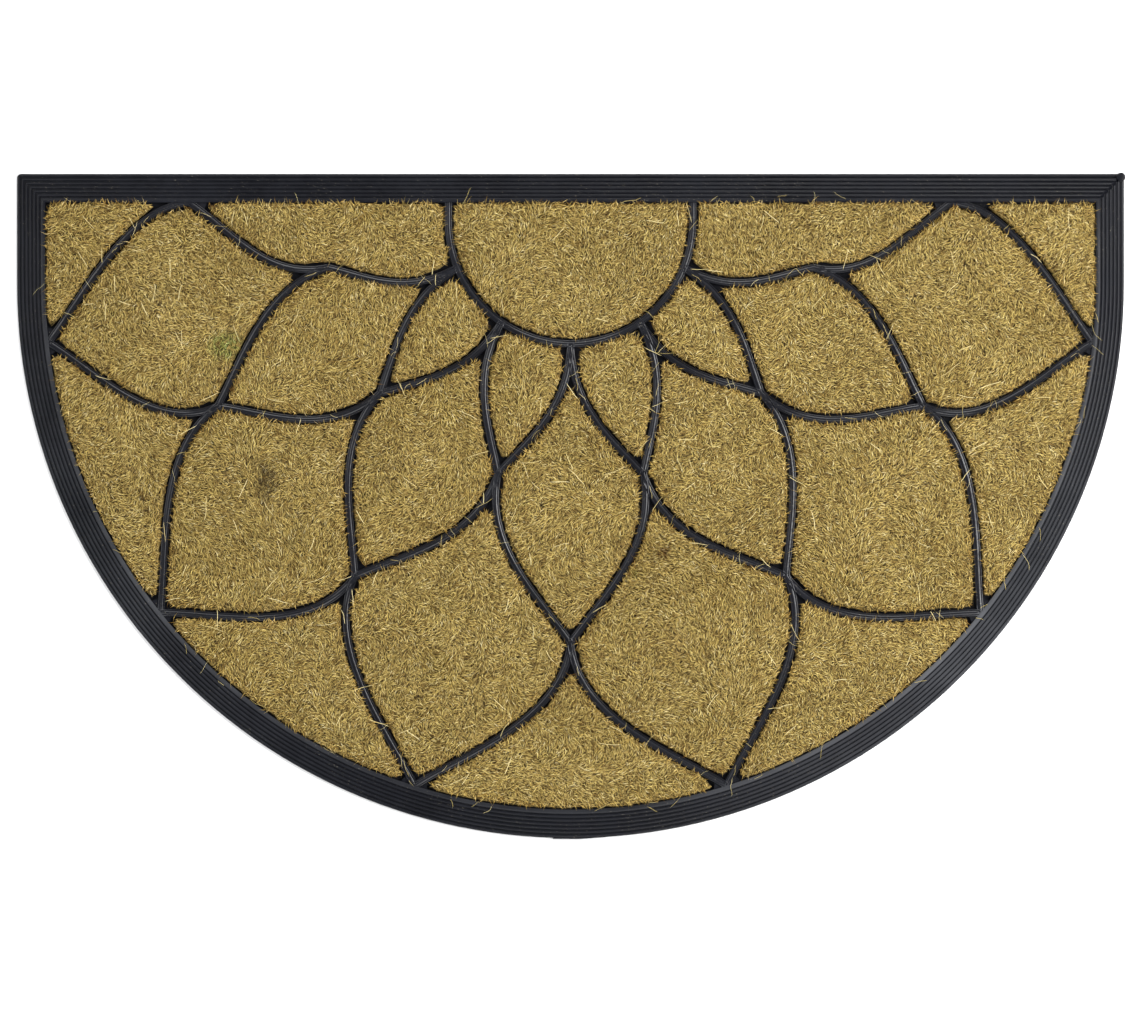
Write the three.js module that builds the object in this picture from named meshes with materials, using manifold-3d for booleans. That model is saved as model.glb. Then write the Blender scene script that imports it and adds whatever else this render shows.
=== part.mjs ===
// A half round doormat: one black rubber tray with a ribbed border and raised dividers, and the
// coir pile inlays that fill its cells. Millimetres, +Z up. The mat lies flat on z = 0, the
// origin is the middle of its underside and the straight edge is at +Y.

import * as THREE from "three";
import { mergeVertices } from "three/addons/utils/BufferGeometryUtils.js";
import Module from "manifold-3d";

// Outline: a half disc below a straight band
const WIDTH = 762;
const LENGTH = 457.2;
const RADIUS = WIDTH / 2;
const ARC_Y = LENGTH / 2 - (LENGTH - RADIUS);
const CORNER_RADIUS = 3;
const LEAST_CORNER_RADIUS = 0.8;
const ARC_STEPS = 52;
const CORNER_STEPS = 2;

// Border: ribs that climb from the thin outer edge to a flat land
const BORDER = 20;
const EDGE_HEIGHT = 2.8;
const EDGE_BEVEL = 0.3;
const BORDER_RIBS = 6;
const RIB_PITCH = 2.75;
const RIB_TOP = 1.75;
const GROOVE_DEPTH = 0.8;
const LAND_HEIGHT = 6.6;

// Tray floor and the dividers that stand on it
const FLOOR = 2;
const DIVIDER_HEIGHT = LAND_HEIGHT;
const DIVIDER_FOOT = 5.6;
const DIVIDER_CREST = 5;
const DIVIDER_STEPS = 10;
const DIVIDER_ROOT = 1;
const DIVIDER_TENON = 0.5;
const POST_SIDES = 8;

// Petal fan: petals around a hub on the straight edge, in rows that overlap
const PETALS = 6;
const HUB_SIZE = 84;
const INNER_TIPS = 168;
const MIDDLE_TIPS = 262;
const FIELD = RADIUS - BORDER;
const HUB_STEPS = 16;
// Where the two handles of a petal's side lie, as shares of its rise and of its half width
const SIDE_CURVE = { startRise: 0.4, startTurn: 0.05, endRise: 0.34, endTurn: 0.32 };

// Coir pile inlays
const PILE_GAP = 1.1;
const PILE_BOTTOM = FLOOR + 0.3;
const CORNER_SOFTNESS = 2.6;
const END_FADE = 5;
const OUTLINE_RAYS = 180;
const OUTLINE_STRIDE = 2;
const OUTLINE_PRECISION = 0.01;
const OUTLINE_TOLERANCE = 0.45;
const RAGGEDNESS = 0.35;
const RAG_FINENESS = 3;
const LUMPINESS = 0.25;
const LUMP_WAVES = [
  { x: 17, y: 29 },
  { x: -41, y: 13 },
  { x: 7.3, y: 7.3 },
];
const CROWN_HEIGHT = 10.3;
// From the foot to the crown: how far in from the gap, and how high
const PILE_SHOULDERS = [
  { inset: 0, height: PILE_BOTTOM },
  { inset: 0, height: 7.6 },
  { inset: 1.6, height: 9.4 },
  { inset: 6, height: 10.1 },
];
// The size in the fan at which each row's cells have a point that sees their whole edge
const CELL_MIDDLES = { hub: 42, inner: 126, wing: 146, middle: 186, outer: 286, rim: 323 };
const WING_TURN = 0.3;
const CORNER_MIDDLE = 27;

const rubber = new THREE.MeshStandardMaterial({ color: 0x24252a, roughness: 0.6, metalness: 0 });
const coir = new THREE.MeshStandardMaterial({ color: 0xad9157, roughness: 0.95, metalness: 0 });

const wasm = await Module();
wasm.setup();

// A closed solid through loops of equal length, listed from the bottom up and anticlockwise
// from above. Its end loops are closed by capping triangles, or by a peak over the last one.
function loft(loops, peak = null) {
  const around = loops[0].length;
  const points = loops.flat();
  const faces = [];
  for (let level = 0; level + 1 < loops.length; level++) {
    for (let i = 0; i < around; i++) {
      const next = (i + 1) % around;
      const [a, b] = [level * around + i, level * around + next];
      faces.push([a, b, b + around], [a, b + around, a + around]);
    }
  }
  const cap = (loop) =>
    THREE.ShapeUtils.triangulateShape(loop.map((p) => new THREE.Vector2(p.x, p.y)), []);
  for (const [a, b, c] of cap(loops[0])) {
    faces.push([c, b, a]);
  }
  const top = (loops.length - 1) * around;
  if (peak) {
    const middle = points.push(peak) - 1;
    for (let i = 0; i < around; i++) {
      faces.push([top + i, top + ((i + 1) % around), middle]);
    }
  } else {
    for (const [a, b, c] of cap(loops[loops.length - 1])) {
      faces.push([top + a, top + b, top + c]);
    }
  }
  const geometry = new THREE.BufferGeometry().setFromPoints(points);
  geometry.setIndex(faces.flat());
  return geometry;
}

function toSolid(geometry) {
  const bare = new THREE.BufferGeometry().setAttribute("position", geometry.getAttribute("position"));
  bare.setIndex(geometry.index);
  const merged = mergeVertices(bare);
  return new wasm.Manifold(
    new wasm.Mesh({
      numProp: 3,
      vertProperties: new Float32Array(merged.attributes.position.array),
      triVerts: new Uint32Array(merged.index.array),
    }),
  );
}

function toGeometry(solid) {
  const mesh = solid.getMesh();
  const geometry = new THREE.BufferGeometry();
  geometry.setAttribute("position", new THREE.BufferAttribute(mesh.vertProperties, mesh.numProp));
  geometry.setIndex(new THREE.BufferAttribute(mesh.triVerts, 1));
  return geometry;
}

// The mat's outline at a distance in from its edge, anticlockwise from the start of the arc.
function outline(inset, height) {
  const half = RADIUS - inset;
  const top = LENGTH / 2 - inset;
  const corner = Math.max(CORNER_RADIUS - inset, LEAST_CORNER_RADIUS);
  const loop = [];
  const addArc = (x, y, radius, from, to, steps) => {
    loop.push(...new THREE.ArcCurve(x, y, radius, from, to, false).getPoints(steps));
  };
  addArc(0, ARC_Y, half, -Math.PI, 0, ARC_STEPS);
  addArc(half - corner, top - corner, corner, 0, Math.PI / 2, CORNER_STEPS);
  addArc(corner - half, top - corner, corner, Math.PI / 2, Math.PI, CORNER_STEPS);
  return loop.map((p) => new THREE.Vector3(p.x, p.y, height));
}

// The border's cross-section from the underside's edge to the tray floor, as inset and height.
function borderSection() {
  const ribsEnd = EDGE_BEVEL + BORDER_RIBS * RIB_PITCH;
  const slope = (inset) => EDGE_HEIGHT + ((LAND_HEIGHT - EDGE_HEIGHT) * inset) / ribsEnd;
  const section = [
    [0, 0],
    [0, EDGE_HEIGHT - EDGE_BEVEL],
  ];
  for (let rib = 0; rib < BORDER_RIBS; rib++) {
    const start = EDGE_BEVEL + rib * RIB_PITCH;
    const groove = start + (RIB_PITCH + RIB_TOP) / 2;
    section.push([start, slope(start)]);
    section.push([start + RIB_TOP, slope(start + RIB_TOP)]);
    section.push([groove, slope(groove) - GROOVE_DEPTH]);
  }
  section.push([ribsEnd, LAND_HEIGHT]);
  section.push([BORDER, LAND_HEIGHT]);
  section.push([BORDER, FLOOR]);
  return section;
}

// How far the field reaches from the fan's middle, at an angle down from the straight edge.
function reach(angle) {
  const drop = LENGTH / 2 - BORDER - ARC_Y;
  const across = Math.abs(Math.cos(angle));
  const down = Math.sin(angle);
  const toArc = drop * down + Math.sqrt(FIELD ** 2 - (drop * across) ** 2);
  return toArc * down < drop && across > 0 ? FIELD / across : toArc;
}

// A point of the fan. A size of FIELD lies on the border's inner edge at every angle.
function fanPoint(size, angle) {
  const distance = (size * reach(angle)) / FIELD;
  return new THREE.Vector2(
    distance * Math.cos(angle),
    LENGTH / 2 - BORDER - distance * Math.sin(angle),
  );
}

// One side of a petal, from the cleft beside it to its tip, in the fan's own sizes and angles.
function petalSide(fromSize, fromAngle, toSize, toAngle) {
  const rise = toSize - fromSize;
  const turn = toAngle - fromAngle;
  const side = new THREE.CubicBezierCurve(
    new THREE.Vector2(fromSize, fromAngle),
    new THREE.Vector2(
      fromSize + SIDE_CURVE.startRise * rise,
      fromAngle + SIDE_CURVE.startTurn * turn,
    ),
    new THREE.Vector2(
      toSize - SIDE_CURVE.endRise * rise,
      toAngle - SIDE_CURVE.endTurn * turn,
    ),
    new THREE.Vector2(toSize, toAngle),
  );
  return side.getPoints(DIVIDER_STEPS).map((p) => fanPoint(p.x, p.y));
}

const PETAL_ANGLE = Math.PI / PETALS;
const betweenPetals = (i) => i * PETAL_ANGLE;
const onPetal = (i) => (i + 0.5) * PETAL_ANGLE;

// The middle lines of all dividers, as lists of points.
function dividerLines() {
  const lines = [];
  const hub = [];
  for (let i = 0; i <= HUB_STEPS; i++) {
    hub.push(fanPoint(HUB_SIZE, (i * Math.PI) / HUB_STEPS));
  }
  lines.push(hub);
  for (let i = 0; i < PETALS; i++) {
    const tip = onPetal(i);
    for (const cleft of [betweenPetals(i), betweenPetals(i + 1)]) {
      const atStraightEdge = cleft === 0 || cleft === Math.PI;
      if (!atStraightEdge) {
        lines.push(petalSide(HUB_SIZE, cleft, INNER_TIPS, tip));
      }
      lines.push(petalSide(INNER_TIPS, tip, MIDDLE_TIPS, cleft));
      lines.push(petalSide(MIDDLE_TIPS, cleft, FIELD, tip));
    }
  }
  return lines;
}

// The places where dividers meet.
function junctions() {
  const places = [];
  for (let i = 1; i < PETALS; i++) {
    places.push(fanPoint(HUB_SIZE, betweenPetals(i)));
    places.push(fanPoint(MIDDLE_TIPS, betweenPetals(i)));
  }
  for (let i = 0; i < PETALS; i++) {
    places.push(fanPoint(INNER_TIPS, onPetal(i)));
    places.push(fanPoint(FIELD, onPetal(i)));
  }
  return places;
}

// A divider: a strip of trapezoid section that stands along a line.
function divider(line) {
  const side = (width, height) => {
    const left = [];
    const right = [];
    line.forEach((p, i) => {
      const before = line[Math.max(i - 1, 0)];
      const after = line[Math.min(i + 1, line.length - 1)];
      const along = after.clone().sub(before).normalize();
      const out = new THREE.Vector2(along.y, -along.x).multiplyScalar(width / 2);
      right.push(new THREE.Vector3(p.x + out.x, p.y + out.y, height));
      left.unshift(new THREE.Vector3(p.x - out.x, p.y - out.y, height));
    });
    return [...right, ...left];
  };
  return loft([side(DIVIDER_FOOT, DIVIDER_ROOT), side(DIVIDER_CREST, DIVIDER_HEIGHT)]);
}

// The upright post at a junction that rounds off the dividers' ends.
function post(place) {
  const height = DIVIDER_HEIGHT - DIVIDER_ROOT;
  const geometry = new THREE.CylinderGeometry(
    DIVIDER_CREST / 2,
    DIVIDER_FOOT / 2,
    height,
    POST_SIDES,
  );
  geometry.rotateX(Math.PI / 2);
  geometry.translate(place.x, place.y, DIVIDER_ROOT + height / 2);
  return geometry;
}

function rubberTray(lines) {
  const base = toSolid(loft(borderSection().map(([inset, height]) => outline(inset, height))));
  const reachInset = BORDER - DIVIDER_TENON;
  const field = toSolid(loft([outline(reachInset, 0), outline(reachInset, 2 * LAND_HEIGHT)]));
  const raised = [...lines.map(divider), ...junctions().map(post)]
    .map(toSolid)
    .reduce((joined, solid) => joined.add(solid))
    .intersect(field);
  const mesh = new THREE.Mesh(toGeometry(base.add(raised)), rubber);
  mesh.name = "rubber_tray";
  return mesh;
}

// A point's distance to a line, and how far the nearest place on it is from the line's ends.
function nearestOn(line, point) {
  let distance = Infinity;
  let toEnd = 0;
  for (let i = 0; i + 1 < line.length; i++) {
    const [from, to] = [line[i], line[i + 1]];
    const [runX, runY] = [to.x - from.x, to.y - from.y];
    const along = (point.x - from.x) * runX + (point.y - from.y) * runY;
    const share = THREE.MathUtils.clamp(along / (runX * runX + runY * runY), 0, 1);
    const [x, y] = [from.x + share * runX, from.y + share * runY];
    const away = Math.hypot(point.x - x, point.y - y);
    if (away < distance) {
      const last = line[line.length - 1];
      distance = away;
      toEnd = Math.min(Math.hypot(x - line[0].x, y - line[0].y), Math.hypot(x - last.x, y - last.y));
    }
  }
  return { distance, toEnd };
}

// How much room a point has to the rubber around it. Where two walls run past it about as
// near, it is less than either, which rounds the corners of a cell.
function room(point, lines) {
  const toSide = FIELD - Math.abs(point.x);
  const toArc = FIELD - Math.hypot(point.x, point.y - ARC_Y);
  const walls = [
    { away: point.y < ARC_Y ? toArc : toSide, weight: 1 },
    { away: LENGTH / 2 - BORDER - point.y, weight: 1 },
  ];
  for (const line of lines) {
    const { distance, toEnd } = nearestOn(line, point);
    walls.push({ away: distance - DIVIDER_FOOT / 2, weight: Math.min(toEnd / END_FADE, 1) });
  }
  const nearest = Math.min(...walls.map((wall) => wall.away));
  const crowding = walls.reduce(
    (sum, wall) => sum + wall.weight * Math.exp((nearest - wall.away) / CORNER_SOFTNESS), 0,
  );
  return nearest - CORNER_SOFTNESS * Math.log(Math.max(crowding, 1));
}

// How far from a cell's middle, along an angle, the room falls to a least value.
function radiusAt(middle, angle, least, lines) {
  const at = (radius) =>
    new THREE.Vector2(middle.x + radius * Math.cos(angle), middle.y + radius * Math.sin(angle));
  let outside = OUTLINE_STRIDE;
  while (room(at(outside), lines) > least) {
    outside += OUTLINE_STRIDE;
  }
  let inside = outside - OUTLINE_STRIDE;
  while (outside - inside > OUTLINE_PRECISION) {
    const half = (inside + outside) / 2;
    if (room(at(half), lines) > least) {
      inside = half;
    } else {
      outside = half;
    }
  }
  return inside;
}

// The fewest of a closed outline's points that keep it within a tolerance.
function fewerPoints(points, tolerance) {
  const thin = (first, last) => {
    const a = points[first % points.length];
    const b = points[last % points.length];
    let worst = tolerance;
    let at = -1;
    for (let i = first + 1; i < last; i++) {
      const { distance } = nearestOn([a, b], points[i % points.length]);
      if (distance > worst) {
        worst = distance;
        at = i;
      }
    }
    return at < 0 ? [first % points.length] : [...thin(first, at), ...thin(at, last)];
  };
  const half = Math.floor(points.length / 2);
  return [...thin(0, half), ...thin(half, points.length)];
}

// Unevenness between -1 and 1 that changes smoothly over the mat.
function unevenness(x, y) {
  const sum = LUMP_WAVES.reduce((total, wave) => total + Math.sin(x / wave.x + y / wave.y), 0);
  return sum / LUMP_WAVES.length;
}

function inlay({ name, middle }, lines) {
  const angles = Array.from({ length: OUTLINE_RAYS }, (_, i) => (i * 2 * Math.PI) / OUTLINE_RAYS);
  const place = (angle, radius) =>
    new THREE.Vector2(middle.x + radius * Math.cos(angle), middle.y + radius * Math.sin(angle));
  const foot = angles.map((angle) => place(angle, radiusAt(middle, angle, PILE_GAP, lines)));
  const kept = fewerPoints(foot, OUTLINE_TOLERANCE).map((i) => angles[i]);
  const loops = PILE_SHOULDERS.map(({ inset, height }) =>
    kept.map((angle) => {
      const radius = radiusAt(middle, angle, PILE_GAP + inset, lines);
      const edge = place(angle, radius);
      const uneven = unevenness(edge.x * RAG_FINENESS, edge.y * RAG_FINENESS);
      const ragged = RAGGEDNESS * (uneven - 1);
      const p = place(angle, radius + ragged);
      const lump = height > PILE_BOTTOM ? LUMPINESS * unevenness(p.x, p.y) : 0;
      return new THREE.Vector3(p.x, p.y, height + lump);
    }),
  );
  const peak = new THREE.Vector3(middle.x, middle.y, CROWN_HEIGHT);
  const mesh = new THREE.Mesh(loft(loops, peak), coir);
  mesh.name = name;
  return mesh;
}

// Every cell's name and a point that sees its whole edge.
function cells() {
  const list = [{ name: "coir_hub", middle: fanPoint(CELL_MIDDLES.hub, Math.PI / 2) }];
  const addRow = (row, count, angleOf) => {
    for (let i = 1; i <= count; i++) {
      list.push({ name: `coir_${row}_${i}`, middle: fanPoint(CELL_MIDDLES[row], angleOf(i)) });
    }
  };
  addRow("inner", PETALS - 2, onPetal);
  addRow("middle", PETALS - 1, betweenPetals);
  addRow("outer", PETALS, (i) => onPetal(i - 1));
  addRow("rim", PETALS - 1, betweenPetals);
  for (const side of [1, -1]) {
    const hand = side > 0 ? "right" : "left";
    const wing = fanPoint(CELL_MIDDLES.wing, WING_TURN * PETAL_ANGLE);
    const corner = new THREE.Vector2(FIELD - CORNER_MIDDLE, LENGTH / 2 - BORDER - CORNER_MIDDLE);
    list.push({ name: `coir_wing_${hand}`, middle: new THREE.Vector2(side * wing.x, wing.y) });
    list.push({ name: `coir_corner_${hand}`, middle: new THREE.Vector2(side * corner.x, corner.y) });
  }
  return list;
}

const lines = dividerLines();
const doormat = new THREE.Group();
doormat.add(rubberTray(lines));
for (const cell of cells()) {
  doormat.add(inlay(cell, lines));
}

export default doormat;
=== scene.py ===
"""A half round doormat: a moulded rubber tray whose cells hold inlays of bristly coir pile.

The mat lies flat on the floor with its straight edge at +Y. The rubber tray has a ribbed border
with mitred corners and low dividers in a fan of overlapping petals. Lengths are in metres.
"""

import logging
import math
from collections.abc import Callable
from dataclasses import dataclass, field
from enum import Enum
from typing import Any

import bmesh
import bpy
import numpy as np
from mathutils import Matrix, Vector


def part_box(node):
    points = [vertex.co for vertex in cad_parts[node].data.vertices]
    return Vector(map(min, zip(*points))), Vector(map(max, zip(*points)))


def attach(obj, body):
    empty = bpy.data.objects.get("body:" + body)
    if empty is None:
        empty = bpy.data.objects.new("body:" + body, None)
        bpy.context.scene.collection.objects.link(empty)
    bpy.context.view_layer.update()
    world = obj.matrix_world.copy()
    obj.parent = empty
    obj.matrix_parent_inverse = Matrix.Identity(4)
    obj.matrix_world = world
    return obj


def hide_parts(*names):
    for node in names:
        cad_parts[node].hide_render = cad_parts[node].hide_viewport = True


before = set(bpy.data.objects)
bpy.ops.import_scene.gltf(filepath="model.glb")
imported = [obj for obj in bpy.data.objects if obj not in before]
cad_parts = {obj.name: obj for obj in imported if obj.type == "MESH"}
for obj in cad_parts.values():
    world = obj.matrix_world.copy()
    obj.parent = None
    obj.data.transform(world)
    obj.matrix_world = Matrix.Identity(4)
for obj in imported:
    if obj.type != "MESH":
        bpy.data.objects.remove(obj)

MM = 0.001
FIRST_SEED = 100
Pair = tuple[float, float]
Steps = tuple[Pair, ...]
Colour = tuple[float, float, float]
Stops = tuple[tuple[float, Colour], ...]
log = logging.getLogger("doormat")


class Hand(Enum):
    """The two sides of the mat, as seen from above with the straight edge at the top."""

    RIGHT = 1
    LEFT = -1


class Layer(Enum):
    """What a coir finish is for."""

    BACKING = "backing"
    STRANDS = "strands"


# Layout


@dataclass(frozen=True)
class Outline:
    """The mat's outline, a half disc below a straight band, and the border inside it."""

    half_width: float
    top: float
    bottom: float
    border: float = 20 * MM

    @property
    def arc_y(self) -> float:
        """The height on the plan of the round edge's middle."""
        return self.bottom + self.half_width

    @property
    def field(self) -> float:
        """The radius of the field inside the border."""
        return self.half_width - self.border

    @property
    def fan_y(self) -> float:
        """The height on the plan of the border's straight inner edge."""
        return self.top - self.border


@dataclass(frozen=True)
class Cell:
    """One cell of the tray: its CAD node, and a point that sees its whole edge."""

    node: str
    middle: np.ndarray


@dataclass(frozen=True)
class PetalFan:
    """The dividers' layout: rows of overlapping petals around a hub on the straight edge.

    Sizes are distances from the fan's middle, on a scale where every point of the border's
    inner edge has the field's radius.
    """

    outline: Outline
    petals: int = 6
    hub: float = 84 * MM
    inner_tips: float = 168 * MM
    middle_tips: float = 262 * MM
    start_rise: float = 0.4
    start_turn: float = 0.05
    end_rise: float = 0.34
    end_turn: float = 0.32
    side_steps: int = 26
    hub_steps: int = 66
    hub_middle: float = 42 * MM
    wing_middle: float = 146 * MM
    wing_turn: float = 0.3
    corner_middle: float = 27 * MM

    @property
    def petal_angle(self) -> float:
        """The angle that one petal takes up."""
        return math.pi / self.petals

    def on_petal(self, index: int) -> float:
        """The angle of a petal's own middle line."""
        return (index + 0.5) * self.petal_angle

    def point(self, size: np.ndarray | float, angle: np.ndarray | float) -> np.ndarray:
        """Finds points of the fan on the plan.

        Args:
            size: How far out, on the fan's own scale.
            angle: The angle down from the straight edge, from the right.

        Returns:
            The points' x and y in the last axis.
        """
        drop = self.outline.fan_y - self.outline.arc_y
        radius = self.outline.field
        across, down = np.cos(angle), np.sin(angle)
        to_arc = drop * down + np.sqrt(radius**2 - (drop * across) ** 2)
        to_side = radius / np.maximum(np.abs(across), 1e-9)
        reach = np.where(to_arc * down < drop, to_side, to_arc)
        distance = size * reach / radius
        return np.stack([distance * across, self.outline.fan_y - distance * down], axis=-1)

    def side(self, start: Pair, end: Pair) -> np.ndarray:
        """Draws one side of a petal.

        Args:
            start: The size and angle of the cleft where it starts.
            end: The size and angle of the petal's tip.

        Returns:
            The side's points on the plan.
        """
        low, high = np.array(start), np.array(end)
        span = high - low
        first = low + span * (self.start_rise, self.start_turn)
        second = high - span * (self.end_rise, self.end_turn)
        t = np.linspace(0, 1, self.side_steps + 1)[:, None]
        weights = ((1 - t) ** 3, 3 * t * (1 - t) ** 2, 3 * t**2 * (1 - t), t**3)
        curve = sum(w * p for w, p in zip(weights, (low, first, second, high)))
        return self.point(curve[:, 0], curve[:, 1])

    def lines(self) -> list[np.ndarray]:
        """Draws the middle line of each divider.

        Returns:
            Each line's points on the plan.
        """
        made = [self.point(self.hub, np.linspace(0, math.pi, self.hub_steps + 1))]
        for petal in range(self.petals):
            tip = self.on_petal(petal)
            for cleft in (petal, petal + 1):
                angle = cleft * self.petal_angle
                if 0 < cleft < self.petals:
                    made.append(self.side((self.hub, angle), (self.inner_tips, tip)))
                made.append(self.side((self.inner_tips, tip), (self.middle_tips, angle)))
                made.append(self.side((self.middle_tips, angle), (self.outline.field, tip)))
        return made

    def junctions(self) -> np.ndarray:
        """Finds where dividers meet each other or the border.

        Returns:
            The places on the plan.
        """
        between = np.arange(1, self.petals) * self.petal_angle
        on = (np.arange(self.petals) + 0.5) * self.petal_angle
        ends = np.array([0, math.pi])
        rows = ((self.hub, between), (self.middle_tips, between), (self.middle_tips, ends),
                (self.inner_tips, on), (self.outline.field, on))
        return np.concatenate([self.point(size, angles) for size, angles in rows])

    def cells(self) -> list[Cell]:
        """Lists the cells between the dividers.

        Each row of petals has a name, its middles' distance, its number of cells, and how many
        petals' angles its first cell is shifted.

        Returns:
            The cells, each with its CAD node and its middle.
        """
        rows = (
            ("inner", 126 * MM, self.petals - 2, 0.5),
            ("middle", 186 * MM, self.petals - 1, 0),
            ("outer", 286 * MM, self.petals, -0.5),
            ("rim", 323 * MM, self.petals - 1, 0),
        )
        made = [Cell("coir_hub", self.point(self.hub_middle, math.pi / 2))]
        for row, size, count, shift in rows:
            for number in range(1, count + 1):
                angle = (number + shift) * self.petal_angle
                made.append(Cell(f"coir_{row}_{number}", self.point(size, angle)))
        corner = np.array([self.outline.field, self.outline.fan_y]) - self.corner_middle
        wing = self.point(self.wing_middle, self.wing_turn * self.petal_angle)
        for hand in Hand:
            flip = np.array([hand.value, 1])
            made.append(Cell(f"coir_wing_{hand.name.lower()}", wing * flip))
            made.append(Cell(f"coir_corner_{hand.name.lower()}", corner * flip))
        return made


@dataclass(frozen=True)
class Waves:
    """A smooth random field over the mat, made of plane waves, mostly between -1 and 1."""

    shortest: float
    longest: float
    seed: int
    count: int = 14

    def at(self, points: np.ndarray) -> np.ndarray:
        """Works out the field's values.

        Args:
            points: Points on the plan.

        Returns:
            The value at each point.
        """
        rng = np.random.default_rng(self.seed)
        length = rng.uniform(self.shortest, self.longest, self.count)
        heading = rng.uniform(0, 2 * math.pi, self.count)
        phase = rng.uniform(0, 2 * math.pi, self.count)
        turn = np.stack([np.cos(heading), np.sin(heading)]) * 2 * math.pi / length
        return np.sin(points @ turn + phase).sum(axis=-1) / math.sqrt(self.count)


@dataclass
class Room:
    """How much room a point of a cell has to the rubber around it."""

    fan: PetalFan
    lines: list[np.ndarray]
    half_foot: float = 2.8 * MM
    corner_softness: float = 2.6 * MM
    softness_reach: float = 6
    end_fade: float = 5 * MM

    def _near_line(self, points: np.ndarray, line: np.ndarray) -> tuple[np.ndarray, np.ndarray]:
        """Measures from points to one line.

        Args:
            points: Points on the plan.
            line: The line's own points.

        Returns:
            Each point's distance to the line, and how far the place nearest to it is from the
            line's ends.
        """
        start, run = line[:-1], np.diff(line, axis=0)
        offset = points[:, None, :] - start
        share = np.clip((offset * run).sum(-1) / (run * run).sum(-1), 0, 1)
        away = np.linalg.norm(offset - share[..., None] * run, axis=-1)
        best = away.argmin(axis=1)
        rows = np.arange(len(points))
        nearest = start[best] + share[rows, best, None] * run[best]
        to_end = np.minimum(
            np.linalg.norm(nearest - line[0], axis=1), np.linalg.norm(nearest - line[-1], axis=1)
        )
        return away[rows, best], to_end

    def at(self, points: np.ndarray) -> np.ndarray:
        """Measures the room, which is less in corners, where two walls run past.

        Args:
            points: Points on the plan.

        Returns:
            The room at each point.
        """
        outline = self.fan.outline
        to_arc = outline.field - np.hypot(points[:, 0], points[:, 1] - outline.arc_y)
        to_side = outline.field - np.abs(points[:, 0])
        away = [np.where(points[:, 1] < outline.arc_y, to_arc, to_side),
                outline.fan_y - points[:, 1]]
        weight = [np.ones(len(points)), np.ones(len(points))]
        low, high = points.min(axis=0), points.max(axis=0)
        margin = self.softness_reach * self.corner_softness
        for line in self.lines:
            if np.any(line.max(axis=0) < low - margin) or np.any(line.min(axis=0) > high + margin):
                continue
            distance, to_end = self._near_line(points, line)
            away.append(distance - self.half_foot)
            weight.append(np.minimum(to_end / self.end_fade, 1))
        away, weight = np.array(away), np.array(weight)
        nearest = away.min(axis=0)
        crowding = (weight * np.exp((nearest - away) / self.corner_softness)).sum(axis=0)
        return nearest - self.corner_softness * np.log(np.maximum(crowding, 1))


@dataclass
class CellShape:
    """A cell's outline as rays from its middle, at any distance in from the rubber."""

    cell: Cell
    room: Room
    rays: int = 132
    stride: float = 1.5 * MM
    longest: float = 132 * MM
    angles: np.ndarray = field(init=False)
    steps: np.ndarray = field(init=False)
    along: np.ndarray = field(init=False)

    def __post_init__(self) -> None:
        """Measures the room along each ray."""
        self.angles = np.arange(self.rays) * 2 * math.pi / self.rays
        self.steps = np.arange(0, self.longest, self.stride)
        points = self.place(self.angles[:, None], self.steps[None, :])
        room = self.room.at(points.reshape(-1, 2))
        self.along = room.reshape(self.rays, len(self.steps))

    def place(self, angles: np.ndarray, radii: np.ndarray) -> np.ndarray:
        """Returns the points at angles and distances from the cell's middle."""
        heading = np.stack([np.cos(angles), np.sin(angles)], axis=-1)
        return self.cell.middle + heading * radii[..., None]

    def radii(self, least: float) -> np.ndarray:
        """Finds how far each ray goes before the room falls to a least value.

        Args:
            least: The least room.

        Returns:
            Each ray's length.
        """
        short = self.along <= least
        after = np.maximum(short.argmax(axis=1), 1)
        rows = np.arange(self.rays)
        before_room, after_room = self.along[rows, after - 1], self.along[rows, after]
        share = (before_room - least) / np.maximum(before_room - after_room, 1e-9)
        return self.steps[after - 1] + np.clip(share, 0, 1) * self.stride

    def scatter(self, density: float, least: float, rng: np.random.Generator) -> np.ndarray:
        """Strews points evenly over the cell, one in each square of a grid.

        Args:
            density: How many points lie on each square metre.
            least: The least room that a point has.
            rng: The seeded source of chance.

        Returns:
            The points on the plan.
        """
        reach = np.append(self.radii(least), self.radii(least)[0])
        ring = np.append(self.angles, 2 * math.pi)
        pitch = density**-0.5
        ticks = np.arange(-reach.max(), reach.max() + pitch, pitch)
        grid = np.stack(np.meshgrid(ticks, ticks), axis=-1).reshape(-1, 2)
        grid = grid + rng.uniform(-0.5, 0.5, grid.shape) * pitch
        angle = np.mod(np.arctan2(grid[:, 1], grid[:, 0]), 2 * math.pi)
        inside = np.linalg.norm(grid, axis=1) < np.interp(angle, ring, reach)
        return self.cell.middle + grid[inside]


# Modelling


def only(*objects: bpy.types.Object) -> None:
    """Selects objects alone and makes the first one active.

    Args:
        objects: What is selected.
    """
    bpy.ops.object.select_all(action="DESELECT")
    for item in objects:
        item.select_set(True)
    bpy.context.view_layer.objects.active = objects[0]


def settle(piece: bpy.types.Object) -> bpy.types.Object:
    """Moves a piece's place, turn and size into its mesh.

    Args:
        piece: The piece.

    Returns:
        The same piece, at the origin.
    """
    only(piece)
    bpy.ops.object.transform_apply(location=True, rotation=True, scale=True)
    return piece


def pick(piece: bpy.types.Object, wanted: Callable[[Vector], bool]) -> None:
    """Selects vertices of a piece in edit mode by their place.

    Args:
        piece: The piece.
        wanted: Says whether a place is selected.
    """
    shape = bmesh.from_edit_mesh(piece.data)
    for vertex in shape.verts:
        vertex.select = bool(wanted(vertex.co))
    shape.select_flush_mode()
    bmesh.update_edit_mesh(piece.data)


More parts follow.
